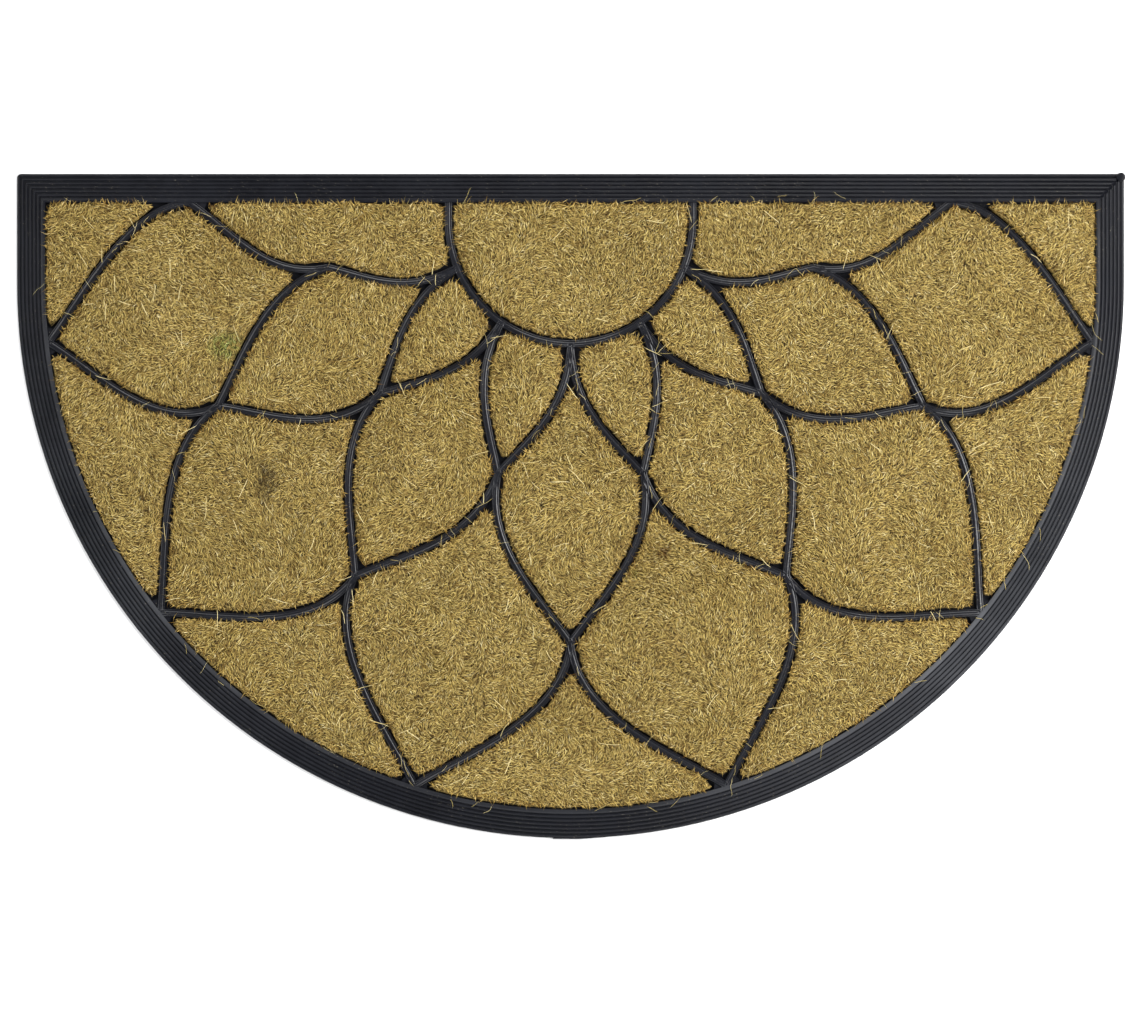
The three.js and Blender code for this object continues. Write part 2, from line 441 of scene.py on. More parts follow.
def plate(points: np.ndarray, bottom: float, top: float) -> bpy.types.Object:
    """Makes a flat plate from a circle whose corners are moved, then extruded.

    Args:
        points: The outline's points on the plan.
        bottom: The height of the underside.
        top: The height of the upper face.

    Returns:
        The plate, a closed mesh.
    """
    bpy.ops.mesh.primitive_circle_add(vertices=len(points), radius=MM, fill_type="NGON")
    made = bpy.context.object
    for vertex, (x, y) in zip(made.data.vertices, points):
        vertex.co = (x, y, bottom)
    bpy.ops.object.mode_set(mode="EDIT")
    bpy.ops.mesh.select_all(action="SELECT")
    bpy.ops.mesh.extrude_region_move(TRANSFORM_OT_translate={"value": (0, 0, top - bottom)})
    bpy.ops.mesh.select_all(action="SELECT")
    bpy.ops.mesh.normals_make_consistent(inside=False)
    bpy.ops.object.mode_set(mode="OBJECT")
    return settle(made)


def dress(piece: bpy.types.Object, name: str, material: bpy.types.Material) -> None:
    """Names a finished piece, gives it its material and slot, and lets it ride on the mat.

    Args:
        piece: The piece.
        name: Its name.
        material: Its finish.
    """
    piece.name = name
    piece.data.name = name
    piece.data.materials.clear()
    piece.data.materials.append(material)
    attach(piece, "root")


@dataclass
class RubberTray:
    """The moulded tray: floor, ribbed border, dividers, webs and the corner's knob."""

    fan: PetalFan
    lines: list[np.ndarray]
    floor: float = 2 * MM
    edge_height: float = 2.8 * MM
    edge_round: float = 0.3 * MM
    ribs: int = 6
    rib_pitch: float = 2.75 * MM
    rib_top: float = 1.75 * MM
    rib_round: float = 0.28 * MM
    rib_profile: Steps = ((0, 1), (0.22, 0.2), (0.5, 0), (0.78, 0.2), (1, 1))
    groove_depth: float = 1.05 * MM
    groove_flat: float = 0.36 * MM
    land_height: float = 6.6 * MM
    land_round: float = 0.4 * MM
    land_profile: Steps = ((0.4 * MM, 0), (0.12 * MM, 0.12 * MM), (0.05 * MM, 0.4 * MM))
    root: float = 1 * MM
    half_foot: float = 2.8 * MM
    crest: float = 6.45 * MM
    divider_profile: Steps = (
        (0.12 * MM, 1.1 * MM),
        (0.3 * MM, 0.5 * MM),
        (0.5 * MM, 0.1 * MM),
        (0.8 * MM, 0),
        (1.1 * MM, 0.2 * MM),
        (1.35 * MM, 0.6 * MM),
        (1.65 * MM, 0.6 * MM),
        (2.1 * MM, 0.3 * MM),
        (2.5 * MM, 0.2 * MM),
    )
    stud_inset: float = 0.1 * MM
    stud_drop: float = 0.4 * MM
    stud_round: float = 0.35 * MM
    stud_sides: int = 28
    stud_steps: int = 3
    web_height: float = 5.2 * MM
    web_gap: float = 0.9 * MM
    web_longest: float = 12 * MM
    web_angles: Pair = (math.radians(8), math.radians(80))
    corner_radius: float = 3 * MM
    corner_steps: int = 8
    cutter_margin: float = 2 * MM
    mitre_start: float = 4 * MM
    mitre_size: float = 1.8 * MM
    knob_radius: float = 3.1 * MM
    knob_overhang: float = 0.8 * MM
    knob_rise: float = 1.6 * MM
    flash_drop: float = 0.7 * MM
    flash_plan: Steps = (
        (-12 * MM, 1.5 * MM),
        (-12 * MM, -0.55 * MM),
        (6 * MM, -0.65 * MM),
        (24 * MM, 0.6 * MM),
        (24 * MM, 2 * MM),
    )
    junction_reach: float = 0.5 * MM
    junction_step: int = 3
    circle_sides: int = 216
    weld: float = 0.001 * MM
    smooth_angle: float = math.radians(38)

    @property
    def ribs_end(self) -> float:
        """How far in from the outer edge the last groove ends."""
        return self.edge_round + self.ribs * self.rib_pitch

    @property
    def climb(self) -> float:
        """How steeply the ribs' tops rise inwards."""
        return (self.land_height - self.edge_height) / self.ribs_end

    def _section(self) -> list[Pair]:
        """Draws the border's section.

        Returns:
            Insets and heights, from the outer edge inwards.
        """
        made = [(0, self.edge_height - self.rib_round - self.edge_round)]
        for rib in range(self.ribs):
            start = self.edge_round + rib * self.rib_pitch
            groove = start + (self.rib_pitch + self.rib_top) / 2
            steps = [(start + a * self.rib_top, b * self.rib_round) for a, b in self.rib_profile]
            steps.append((groove - self.groove_flat / 2, self.groove_depth))
            steps.append((groove + self.groove_flat / 2, self.groove_depth))
            made += [(inset, self.edge_height + self.climb * inset - drop) for inset, drop in steps]
        land_end = self.fan.outline.border
        made.append((self.ribs_end, self.land_height - self.rib_round))
        made.append((self.ribs_end + self.land_round, self.land_height))
        made += [(land_end - inset, self.land_height - drop) for inset, drop in self.land_profile]
        made.append((land_end, self.floor))
        return made

    def _base(self) -> bpy.types.Object:
        """Makes the floor and the border, from half a circle that is inset rib by rib.

        Returns:
            The tray without its dividers, a closed mesh.
        """
        outline = self.fan.outline
        bpy.ops.mesh.primitive_circle_add(
            vertices=self.circle_sides,
            radius=outline.half_width,
            fill_type="NOTHING",
            location=(0, outline.arc_y, 0),
        )
        made = settle(bpy.context.object)
        bpy.ops.object.mode_set(mode="EDIT")
        bpy.ops.mesh.select_mode(type="VERT")
        near = 0.1 * MM
        pick(made, lambda co: co.y > outline.arc_y + near)
        bpy.ops.mesh.delete(type="VERT")
        pick(made, lambda co: co.y > outline.arc_y - near)
        band = outline.top - outline.arc_y
        bpy.ops.mesh.extrude_vertices_move(TRANSFORM_OT_translate={"value": (0, band, 0)})
        bpy.ops.mesh.edge_face_add()
        bpy.ops.mesh.select_all(action="SELECT")
        bpy.ops.mesh.edge_face_add()
        section = self._section()
        lift = section[0][1]
        bpy.ops.mesh.extrude_region_move(TRANSFORM_OT_translate={"value": (0, 0, lift)})
        for (inset, height), (next_inset, next_height) in zip(section, section[1:]):
            bpy.ops.mesh.inset(
                thickness=next_inset - inset, depth=next_height - height, use_even_offset=True
            )
        bpy.ops.mesh.select_all(action="SELECT")
        bpy.ops.mesh.normals_make_consistent(inside=False)
        bpy.ops.object.mode_set(mode="OBJECT")
        return made

    def _divider_section(self) -> bpy.types.Object:
        """Makes the dividers' section: a drafted strip with a fine ridge along each edge.

        Returns:
            The section, a closed flat curve.
        """
        top = self.crest - self.floor
        half = [(self.half_foot, self.root - self.floor)]
        half += [(self.half_foot - inset, top - drop) for inset, drop in self.divider_profile]
        points = half + [(-x, y) for x, y in reversed(half)]
        bpy.ops.curve.primitive_bezier_curve_add()
        made = bpy.context.object
        made.data.dimensions = "2D"
        self._redraw(made, [(x, y, 0) for x, y in points], closed=True)
        return made

    def _redraw(self, curve: bpy.types.Object, points: list[tuple], closed: bool) -> None:
        """Gives a curve one straight-sided spline.

        Args:
            curve: The curve.
            points: The spline's points in space.
            closed: Whether its ends meet.
        """
        curve.data.splines.clear()
        spline = curve.data.splines.new("POLY")
        spline.points.add(len(points) - 1)
        for handle, place in zip(spline.points, points):
            handle.co = (*place, 1)
        spline.use_cyclic_u = closed

    def _divider(self, line: np.ndarray, section: bpy.types.Object) -> bpy.types.Object:
        """Sweeps the dividers' section along one line.

        Args:
            line: The divider's middle line on the plan.
            section: The curve that is swept.

        Returns:
            The divider, a closed mesh whose foot is sunk in the floor.
        """
        bpy.ops.curve.primitive_bezier_curve_add()
        made = bpy.context.object
        made.data.dimensions = "3D"
        made.data.twist_mode = "Z_UP"
        made.data.bevel_mode = "OBJECT"
        made.data.bevel_object = section
        made.data.use_fill_caps = True
        self._redraw(made, [(x, y, self.floor) for x, y in line], closed=False)
        only(made)
        bpy.ops.object.convert(target="MESH")
        made = settle(bpy.context.object)
        bpy.ops.object.mode_set(mode="EDIT")
        bpy.ops.mesh.select_all(action="SELECT")
        bpy.ops.mesh.remove_doubles(threshold=self.weld)
        bpy.ops.mesh.normals_make_consistent(inside=False)
        bpy.ops.object.mode_set(mode="OBJECT")
        return made

    def _stud(self, place: np.ndarray, radius: float, top: float) -> bpy.types.Object:
        """Makes a round stud with a softened rim, standing in the floor.

        Args:
            place: Its middle on the plan.
            radius: Its radius.
            top: The height of its top.

        Returns:
            The stud, a closed mesh.
        """
        bpy.ops.mesh.primitive_cylinder_add(
            vertices=self.stud_sides,
            radius=radius,
            depth=top - self.root,
            location=(*place, (top + self.root) / 2),
        )
        made = settle(bpy.context.object)
        bevel = made.modifiers.new("rim", "BEVEL")
        bevel.width = self.stud_round
        bevel.segments = self.stud_steps
        bpy.ops.object.modifier_apply(modifier=bevel.name)
        return made

    def _headings(self, place: np.ndarray) -> list[float]:
        """Finds the directions in which dividers and the border leave a junction.

        Args:
            place: The junction on the plan.

        Returns:
            The directions' angles, in order.
        """
        near, step = self.junction_reach, self.junction_step
        found = []
        for line in self.lines:
            away = np.linalg.norm(line - place, axis=1)
            index = int(away.argmin())
            if away[index] > near:
                continue
            for other in (index - step, index + step):
                if 0 <= other < len(line):
                    run = line[other] - place
                    found.append(math.atan2(run[1], run[0]))
        outline = self.fan.outline
        spoke = place - np.array([0, outline.arc_y])
        if np.linalg.norm(spoke) > outline.field - near and place[1] < outline.arc_y:
            along = math.atan2(spoke[1], spoke[0]) + math.pi / 2
            found += [along, along + math.pi]
        if place[1] > outline.fan_y - near:
            found += [0, math.pi]
        return sorted(angle % (2 * math.pi) for angle in found)

    def _corner_cutter(self, hand: Hand) -> bpy.types.Object:
        """Makes the cutter that rounds one of the mat's two square corners.

        Args:
            hand: The corner's side of the mat.

        Returns:
            The cutter, a closed mesh.
        """
        outline, radius, past = self.fan.outline, self.corner_radius, self.cutter_margin
        middle = np.array([outline.half_width - radius, outline.top - radius])
        turns = np.linspace(0, math.pi / 2, self.corner_steps + 1)
        arc = middle + radius * np.stack([np.cos(turns), np.sin(turns)], axis=1)
        corner = [
            (middle[0], outline.top + past),
            (outline.half_width + past, outline.top + past),
            (outline.half_width + past, middle[1]),
        ]
        points = np.concatenate([arc, corner]) * (hand.value, 1)
        return plate(points[:: hand.value], -past, self.edge_height + past)

    def _mitre_cutter(self) -> bpy.types.Object:
        """Makes the cutter of the groove along the mitre of the right corner.

        Returns:
            The cutter, a closed mesh.
        """
        outline = self.fan.outline
        middle = (self.mitre_start + self.ribs_end) / 2
        diagonal = (self.ribs_end - self.mitre_start) * math.sqrt(2)
        level = self.edge_height + self.climb * middle
        bpy.ops.mesh.primitive_cube_add(
            size=1, location=(outline.half_width - middle, outline.top - middle, level)
        )
        made = bpy.context.object
        made.scale = (diagonal, self.mitre_size, self.mitre_size)
        rise = math.atan(self.climb / math.sqrt(2))
        made.rotation_euler = (math.radians(45), -rise, math.radians(-135))
        return settle(made)

    def _flash(self) -> bpy.types.Object:
        """Makes the thin flash left by the mould at the middle of the round edge."""
        plan = np.array(self.flash_plan) + (0, self.fan.outline.bottom)
        return plate(plan, 0, self.edge_height - self.flash_drop)

    def _combine(
        self, tray: bpy.types.Object, parts: list[bpy.types.Object], operation: str
    ) -> None:
        """Joins parts to the tray, or cuts them out of it, and removes them.

        Args:
            tray: The piece that is changed.
            parts: Closed pieces.
            operation: The boolean's kind.
        """
        held = bpy.data.collections.new("tray_parts")
        bpy.context.scene.collection.children.link(held)
        for part in parts:
            for home in list(part.users_collection):
                home.objects.unlink(part)
            held.objects.link(part)
        only(tray)
        joint = tray.modifiers.new("joint", "BOOLEAN")
        joint.operation = operation
        joint.solver = "MANIFOLD"
        joint.operand_type = "COLLECTION"
        joint.collection = held
        bpy.ops.object.modifier_apply(modifier=joint.name)
        for part in parts:
            bpy.data.objects.remove(part)
        bpy.data.collections.remove(held)

    def _webs(self, place: np.ndarray) -> list[bpy.types.Object]:
        """Makes the low webs that fill the sharp corners at a junction.

        Args:
            place: The junction on the plan.

        Returns:
            The webs, closed meshes.
        """
        least, most = self.web_angles
        made = []
        headings = self._headings(place)
        for first, second in zip(headings, headings[1:] + [headings[0] + 2 * math.pi]):
            angle = second - first
            if not least < angle < most:
                continue
            length = min((self.half_foot + self.web_gap) / math.sin(angle / 2), self.web_longest)
            corners = [place]
            for heading in (first, second):
                corners.append(place + length * np.array([math.cos(heading), math.sin(heading)]))
            made.append(plate(np.array(corners), self.root, self.web_height))
        return made

    def _mark_wear_and_sheen(self, tray: bpy.types.Object) -> None:
        """Marks wear and painted sheen, for the rubber finish.

        The dividers' crests are polished. The border's ribs are greyed by wear and by painted
        sheen, and its land more so.

        Args:
            tray: The finished moulding.
        """
        outline = self.fan.outline
        near, above = MM, 0.1 * MM
        x, y, height = np.array([vertex.co for vertex in tray.data.vertices]).T
        below_arc = y < outline.arc_y + near
        across = np.where(below_arc, np.hypot(x, y - outline.arc_y), np.abs(x))
        inside = (across < outline.field) & (y < outline.fan_y)
        polished = inside & (height > self.web_height + above)
        inset = np.minimum(outline.half_width - across, outline.top - y)
        level = np.minimum(self.edge_height + self.climb * inset, self.land_height)
        raised = ~inside & (level - height < self.groove_depth / 2)
        on_land = raised & below_arc & (inset > self.ribs_end + self.land_round / 2)
        # the second mask carries the grey wear and painted sheen of the ribs, twice as much on the
        # land
        for name, amount in (("polished", 1.0 * polished), ("worn_and_sheen", 1.0 * raised + on_land)):
            values = tray.data.attributes.new(name, "FLOAT", "POINT")
            values.data.foreach_set("value", amount.astype(np.float32))

    def build(self, material: bpy.types.Material) -> bpy.types.Object:
        """Makes the whole tray and joins it into one moulding.

        Args:
            material: The rubber finish.

        Returns:
            The finished piece, in place of the CAD tray.
        """
        tray = self._base()
        cutters = [self._corner_cutter(hand) for hand in Hand]
        self._combine(tray, [*cutters, self._mitre_cutter()], "DIFFERENCE")
        section = self._divider_section()
        outline, near = self.fan.outline, MM
        parts = [self._divider(line, section) for line in self.lines]
        for place in self.fan.junctions():
            on_edge = place[1] > outline.fan_y - near
            inside = np.linalg.norm(place - (0, outline.arc_y)) < outline.field - near
            if inside and not on_edge:
                radius, top = self.half_foot - self.stud_inset, self.crest - self.stud_drop
                parts.append(self._stud(place, radius, top))
            parts += self._webs(place)
        knob = np.array([outline.half_width, outline.top]) - self.knob_radius + self.knob_overhang
        parts.append(self._stud(knob, self.knob_radius, self.edge_height + self.knob_rise))
        parts.append(self._flash())
        bpy.data.objects.remove(section)
        self._combine(tray, parts, "UNION")
        only(tray)
        bpy.ops.object.shade_smooth_by_angle(angle=self.smooth_angle)
        self._mark_wear_and_sheen(tray)
        dress(tray, "rubber_tray_moulding", material)
        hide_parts("rubber_tray")
        return tray


# Coir


@dataclass(frozen=True)
class Strands:
    """Fibres as arrays: each one is a bent spindle with a root, a triangular waist and a tip."""

    root: np.ndarray
    waist: np.ndarray
    tip: np.ndarray
    width: np.ndarray
    tone: np.ndarray
    rim: np.ndarray
    ground: np.ndarray
    depth: float = 1.7 * MM

    CORNERS = 3

    def mesh(self, name: str) -> bpy.types.Object:
        """Joins the fibres into one mesh with a colour attribute.

        Args:
            name: The piece's name.

        Returns:
            The piece, whose vertices carry tone, height in the pile, and nearness to the rim.
        """
        count = len(self.root)
        axis = self.tip - self.root
        axis /= np.linalg.norm(axis, axis=1, keepdims=True)
        flat = np.cross(axis, [0, 0, 1.0])
        flat /= np.maximum(np.linalg.norm(flat, axis=1, keepdims=True), 1e-9)
        upright = np.cross(flat, axis)
        points = np.empty((count, self.CORNERS + 2, 3))
        points[:, 0] = self.root
        points[:, -1] = self.tip
        for corner in range(self.CORNERS):
            turn = 2 * math.pi * corner / self.CORNERS + math.pi / 2
            out = math.cos(turn) * flat - math.sin(turn) * upright
            points[:, 1 + corner] = self.waist + out * self.width[:, None] / 2
        faces = np.array([(0, 2, 1), (0, 3, 2), (0, 1, 3), (4, 1, 2), (4, 2, 3), (4, 3, 1)])
        index = (np.arange(count)[:, None, None] * (self.CORNERS + 2) + faces).reshape(-1, 3)
        # height in the pile, which sets the fibres' painted shade
        above = np.clip((points[:, :, 2] - self.ground[:, None]) / self.depth, 0, 1)
        data = np.stack(np.broadcast_arrays(self.tone[:, None], above, self.rim[:, None]), axis=-1)
        return joined_mesh(name, points.reshape(-1, 3), index, data.reshape(-1, 3))


def joined_mesh(
    name: str, points: np.ndarray, faces: np.ndarray, strand: np.ndarray
) -> bpy.types.Object:
    """Makes one object from arrays.

    Args:
        name: The object's name.
        points: Every vertex.
        faces: Every triangle, as three vertex numbers.
        strand: Three values a vertex for the coir finish.

    Returns:
        The object, linked to the scene.
    """
    mesh = bpy.data.meshes.new(name)
    mesh.vertices.add(len(points))
    mesh.vertices.foreach_set("co", points.astype(np.float32).ravel())
    mesh.loops.add(faces.size)
    mesh.loops.foreach_set("vertex_index", faces.astype(np.int32).ravel())
    mesh.polygons.add(len(faces))
    mesh.polygons.foreach_set("loop_start", np.arange(0, faces.size, 3, dtype=np.int32))
    mesh.update(calc_edges=True)
    values = mesh.attributes.new("strand", "FLOAT_VECTOR", "POINT")
    values.data.foreach_set("vector", strand.astype(np.float32).ravel())
    made = bpy.data.objects.new(name, mesh)
    bpy.context.scene.collection.objects.link(made)
    return made


def pointed_tube(spine: np.ndarray, width: float) -> tuple[np.ndarray, np.ndarray]:
    """Makes a three-sided tube that ends in points.

    Args:
        spine: The points that it follows, with its two ends.
        width: Its width.

    Returns:
        Its vertices, and its triangles as vertex numbers.
    """
    along = np.gradient(spine, axis=0)
    along /= np.linalg.norm(along, axis=1, keepdims=True)
    flat = np.cross(along, [0, 0, 1.0])
    flat /= np.linalg.norm(flat, axis=1, keepdims=True)
    upright = np.cross(flat, along)
    points = [spine[0]]
    for middle, side, up in list(zip(spine, flat, upright))[1:-1]:
        for corner in range(3):
            turn = 2 * math.pi * corner / 3
            points.append(middle + (math.cos(turn) * side - math.sin(turn) * up) * width / 2)
    points.append(spine[-1])
    last, rings = len(points) - 1, len(spine) - 2
    tail = last - 3
    faces = []
    for corner in range(3):
        after = (corner + 1) % 3
        faces.append((0, 1 + after, 1 + corner))
        for ring in range(rings - 1):
            a, b = 1 + 3 * ring + corner, 1 + 3 * ring + after
            faces += [(a, b, b + 3), (a, b + 3, a + 3)]
        faces.append((last, tail + corner, tail + after))
    return np.array(points), np.array(faces)


@dataclass(frozen=True)
class FibreHabit:
    """How the fibres of a pile grow.

    Three values are least, usual and most. Rises are in degrees and turns in radians. Bends
    and sags are shares of a fibre's length.
    """

    tuft_mixing: float = 0.5 * MM
    loose_share: float = 0.15
    tuft_turn: float = 0.45
    fibre_turn: float = 0.27
    rim_share: float = 0.8
    rim_turn: float = 0.75
    rim_fade: float = 2.2 * MM
    rise: tuple[float, float, float] = (2, 16, 52)
    length: tuple[float, float, float] = (3 * MM, 5 * MM, 8.2 * MM)
    whisker_share: float = 0.24
    whisker_length: float = 1.5
    whisker_width: float = 0.7
    tuft_lift: float = 0.2 * MM
    fibre_lift: float = 0.25 * MM
    root_share: float = 0.4
    root_shift: float = 0.6 * MM
    tip_shift: float = 1 * MM
    bend: float = 0.07
    sag: Pair = (0.05, 0.3)
    waist_lift: float = 0.5
    tip_drop: float = 0.3
    ceiling: float = 10.9 * MM
    width: Pair = (0.29 * MM, 0.53 * MM)
    tuft_tone: float = 0.065
    tone: Pair = (1.8, 1.9)
    shade_depth: float = 0.55 * MM


@dataclass
class CoirInlay:
    """One inlay: a dense backing of coir and the loose fibres that stand out of it."""

    shape: CellShape
    lumps: Waves
    lean: Waves
    rags: Waves
    wobble: Waves
    seed: int
    gap: float = 0.6 * MM
    bottom: float = 2.3 * MM
    crown: float = 8.9 * MM
    lump_height: float = 0.3 * MM
    raggedness: float = 0.55 * MM
    density: float = 0.705 / MM**2
    tuft_density: float = 0.06 / MM**2
    habit: FibreHabit = FibreHabit()
    shoulders: Steps = ((0, 6.3 * MM), (0.7 * MM, 7.5 * MM), (2 * MM, 8.3 * MM), (5 * MM, 8.7 * MM))
    crown_inset: float = 12 * MM
    inner_rings: Pair = (0.72, 0.4)
    dent_shares: tuple[float, float, float] = (1.1, 0.75, 0.35)
    slope_probe: float = 0.5 * MM
    smooth_angle: float = math.radians(60)

    def _height(self, points: np.ndarray, room: np.ndarray) -> np.ndarray:
        """Works out the backing's height.

        Args:
            points: Points of the cell on the plan.
            room: The room at each point.

        Returns:
            The height at each point.
        """
        insets = [inset + self.gap for inset, _ in self.shoulders] + [self.crown_inset]
        heights = [height for _, height in self.shoulders] + [self.crown]
        return np.interp(room, insets, heights) + self.lump_height * self.lumps.at(points)

    def _dent(self, points: np.ndarray) -> np.ndarray:
        """Works out how far the ragged rim is dented in.

        Args:
            points: Points near the rim on the plan.

        Returns:
            The dent's depth at each point.
        """
        usual, fine, coarse = self.dent_shares
        rags, wobble = (np.clip(wave.at(points), -1, 1) for wave in (self.rags, self.wobble))
        return self.raggedness * (usual + fine * rags + coarse * wobble)

    def _rings(self) -> list[np.ndarray]:
        """Draws the backing's rings.

        Returns:
            Each ring's points in space, from the foot to the crown.
        """
        made = []
        foot = None
        for inset, height in ((0, self.bottom), *self.shoulders):
            radii = self.shape.radii(self.gap + inset)
            edge = self.shape.place(self.shape.angles, radii)
            plan = self.shape.place(self.shape.angles, radii - self._dent(edge))
            level = np.full(len(plan), height)
            if foot is not None:
                level = level + self.lump_height * self.lumps.at(plan)
            foot = plan if foot is None else foot
            made.append(np.column_stack([plan, level]))
        middle = self.shape.cell.middle
        last = made[-1][:, :2]
        for share in self.inner_rings:
            plan = middle + (last - middle) * share
            level = self.crown + self.lump_height * self.lumps.at(plan)
            made.append(np.column_stack([plan, level]))
        return made

    def _backing(self) -> bpy.types.Object:
        """Makes the backing from a circle that is extruded ring by ring.

        Returns:
            The backing, a closed mesh.
        """
        rings = self._rings()
        bpy.ops.mesh.primitive_circle_add(
            vertices=self.shape.rays, fill_type="NGON", location=(*self.shape.cell.middle, 0)
        )
        made = settle(bpy.context.object)
        bpy.ops.object.mode_set(mode="EDIT")
        bpy.ops.mesh.select_all(action="SELECT")
        self._place_ring(made, rings[0])
        for ring in rings[1:]:
            bpy.ops.mesh.extrude_region_move(TRANSFORM_OT_translate={"value": (0, 0, MM)})
            self._place_ring(made, ring)
        bpy.ops.mesh.poke()
        bpy.ops.mesh.select_all(action="SELECT")
        bpy.ops.mesh.normals_make_consistent(inside=False)
        bpy.ops.object.mode_set(mode="OBJECT")
        only(made)
        bpy.ops.object.shade_smooth_by_angle(angle=self.smooth_angle)
        return made

    def _place_ring(self, piece: bpy.types.Object, ring: np.ndarray) -> None:
        """Puts the selected vertices on a ring, each on its own ray.

        Args:
            piece: The backing, in edit mode.
            ring: The ring's points in space.
        """
        middle = self.shape.cell.middle
        shape = bmesh.from_edit_mesh(piece.data)
        for vertex in shape.verts:
            if vertex.select:
                angle = math.atan2(vertex.co.y - middle[1], vertex.co.x - middle[0])
                ray = round(angle / (2 * math.pi) * self.shape.rays) % self.shape.rays
                vertex.co = Vector(ring[ray])
        bmesh.update_edit_mesh(piece.data)

    def _flat_area(self) -> tuple[Pair, float]:
        """Measures the inlay as it was cut.

        Returns:
            The size of the rectangle round it, and its own area.
        """
        edge = self.shape.place(self.shape.angles, self.shape.radii(self.gap))
        width, length = np.ptp(edge, axis=0)
        following = np.roll(edge, -1, axis=0)
        area = (edge[:, 0] * following[:, 1] - edge[:, 1] * following[:, 0]).sum() / 2
        return (float(width), float(length)), float(area)

    def _outwards(self, plan: np.ndarray, room: np.ndarray) -> np.ndarray:
        """Finds the direction in which the room shrinks fastest.

        Args:
            plan: Points of the cell on the plan.
            room: The room at each point.

        Returns:
            The direction's angle at each point.
        """
        slope_x = self.shape.room.at(plan + (self.slope_probe, 0)) - room
        slope_y = self.shape.room.at(plan + (0, self.slope_probe)) - room
        return np.arctan2(-slope_y, -slope_x)

    def _headings(
        self,
        rng: np.random.Generator,
        tufts: np.ndarray,
        owner: np.ndarray,
        outwards: np.ndarray,
        rim: np.ndarray,
    ) -> tuple[np.ndarray, np.ndarray]:
        """Turns most fibres as their tuft leans, some anyhow, and many at the rim outwards.

        Args:
            rng: The seeded source of chance.
            tufts: The tufts' middles on the plan.
            owner: The number of each fibre's tuft.
            outwards: The direction of the rim from each fibre.
            rim: Each fibre's nearness to the rim, from 0 to 1.

        Returns:
            Each fibre's direction on the plan, and whether it points out at the rim.
        """
        habit, count = self.habit, len(owner)
        loose = rng.random(count) < habit.loose_share
        tuft_heading = math.pi * self.lean.at(tufts) + rng.normal(0, habit.tuft_turn, len(tufts))
        heading = np.where(loose, rng.uniform(0, 2 * math.pi, count), tuft_heading[owner])
        heading = heading + rng.normal(0, habit.fibre_turn, count)
        at_edge = rng.random(count) < habit.rim_share * rim
        return np.where(at_edge, outwards + rng.normal(0, habit.rim_turn, count), heading), at_edge

    def _strands(self) -> Strands:
        """Strews fibres over the backing, all leaning a little towards the straight edge.

        Returns:
            The fibres.
        """
        habit = self.habit
        rng = np.random.default_rng(self.seed)
        plan = self.shape.scatter(self.density, self.gap, rng)
        tufts = self.shape.scatter(self.tuft_density, self.gap, rng)
        room = self.shape.room.at(plan)
        kept = room > self.gap + self._dent(plan)
        plan, room = plan[kept], room[kept]
        count = len(plan)
        away = np.linalg.norm(plan[:, None, :] - tufts, axis=-1)
        owner = (away + rng.normal(0, habit.tuft_mixing, away.shape)).argmin(axis=1)
        rim = np.exp(-np.maximum(room - self.gap, 0) / habit.rim_fade)
        heading, at_edge = self._headings(rng, tufts, owner, self._outwards(plan, room), rim)
        rise = np.radians(rng.triangular(*habit.rise, count))
        length = rng.triangular(*habit.length, count)
        whisker = at_edge & (rng.random(count) < habit.whisker_share)
        length = np.where(whisker, habit.whisker_length * length, length)
        tuft_lift = rng.normal(0, habit.tuft_lift, len(tufts))
        ground = self._height(plan, room)
        base = ground + tuft_lift[owner] + rng.normal(0, habit.fibre_lift, count)
        sag = rng.uniform(*habit.sag, count) * length
        bend = rng.normal(0, habit.bend, count) * length
        ahead = np.stack([np.cos(heading), np.sin(heading)], axis=1)
        sideways = np.stack([-ahead[:, 1], ahead[:, 0]], axis=1)
        run = ahead * (length * np.cos(rise))[:, None]
        climb = length * np.sin(rise)
        root = np.column_stack([plan - run * habit.root_share, base - 0.5 * climb])
        tip = np.column_stack([plan + run * (1 - habit.root_share), base + 0.5 * climb])
        root[:, 1] += habit.root_shift
        tip[:, 1] += habit.tip_shift
        waist = 0.5 * (root + tip)
        waist[:, :2] += sideways * bend[:, None]
        waist[:, 2] += habit.waist_lift * sag
        tip[:, 2] -= habit.tip_drop * sag
        for part in (waist, tip):
            part[:, 2] = np.minimum(part[:, 2], habit.ceiling)
        width = rng.uniform(*habit.width, count) * np.where(whisker, habit.whisker_width, 1)
        tuft_tone = rng.normal(0, habit.tuft_tone, len(tufts))
        tone = np.clip(rng.beta(*habit.tone, count) + tuft_tone[owner], 0, 1)
        return Strands(root, waist, tip, width, tone, rim, ground - habit.shade_depth)

    def build(self, finishes: dict[Layer, bpy.types.Material]) -> int:
        """Makes the inlay's backing and pile.

        Args:
            finishes: The coir finish for each layer.

        Returns:
            How many fibres the pile has.
        """
        node = self.shape.cell.node
        backing = self._backing()
        dress(backing, f"{node}_backing", finishes[Layer.BACKING])
        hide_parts(node)
        flat, area = self._flat_area()
        strands = self._strands()
        pile = strands.mesh(f"{node}_pile")
        dress(pile, f"{node}_pile", finishes[Layer.STRANDS])
        return len(strands.root)


@dataclass(frozen=True)
class StrayKind:
    """The sizes of the loose fibres in one place: ranges, and how much each one wanders."""

    length: tuple[float, float, float]
    wander: float
    width: Pair
    tone: Pair


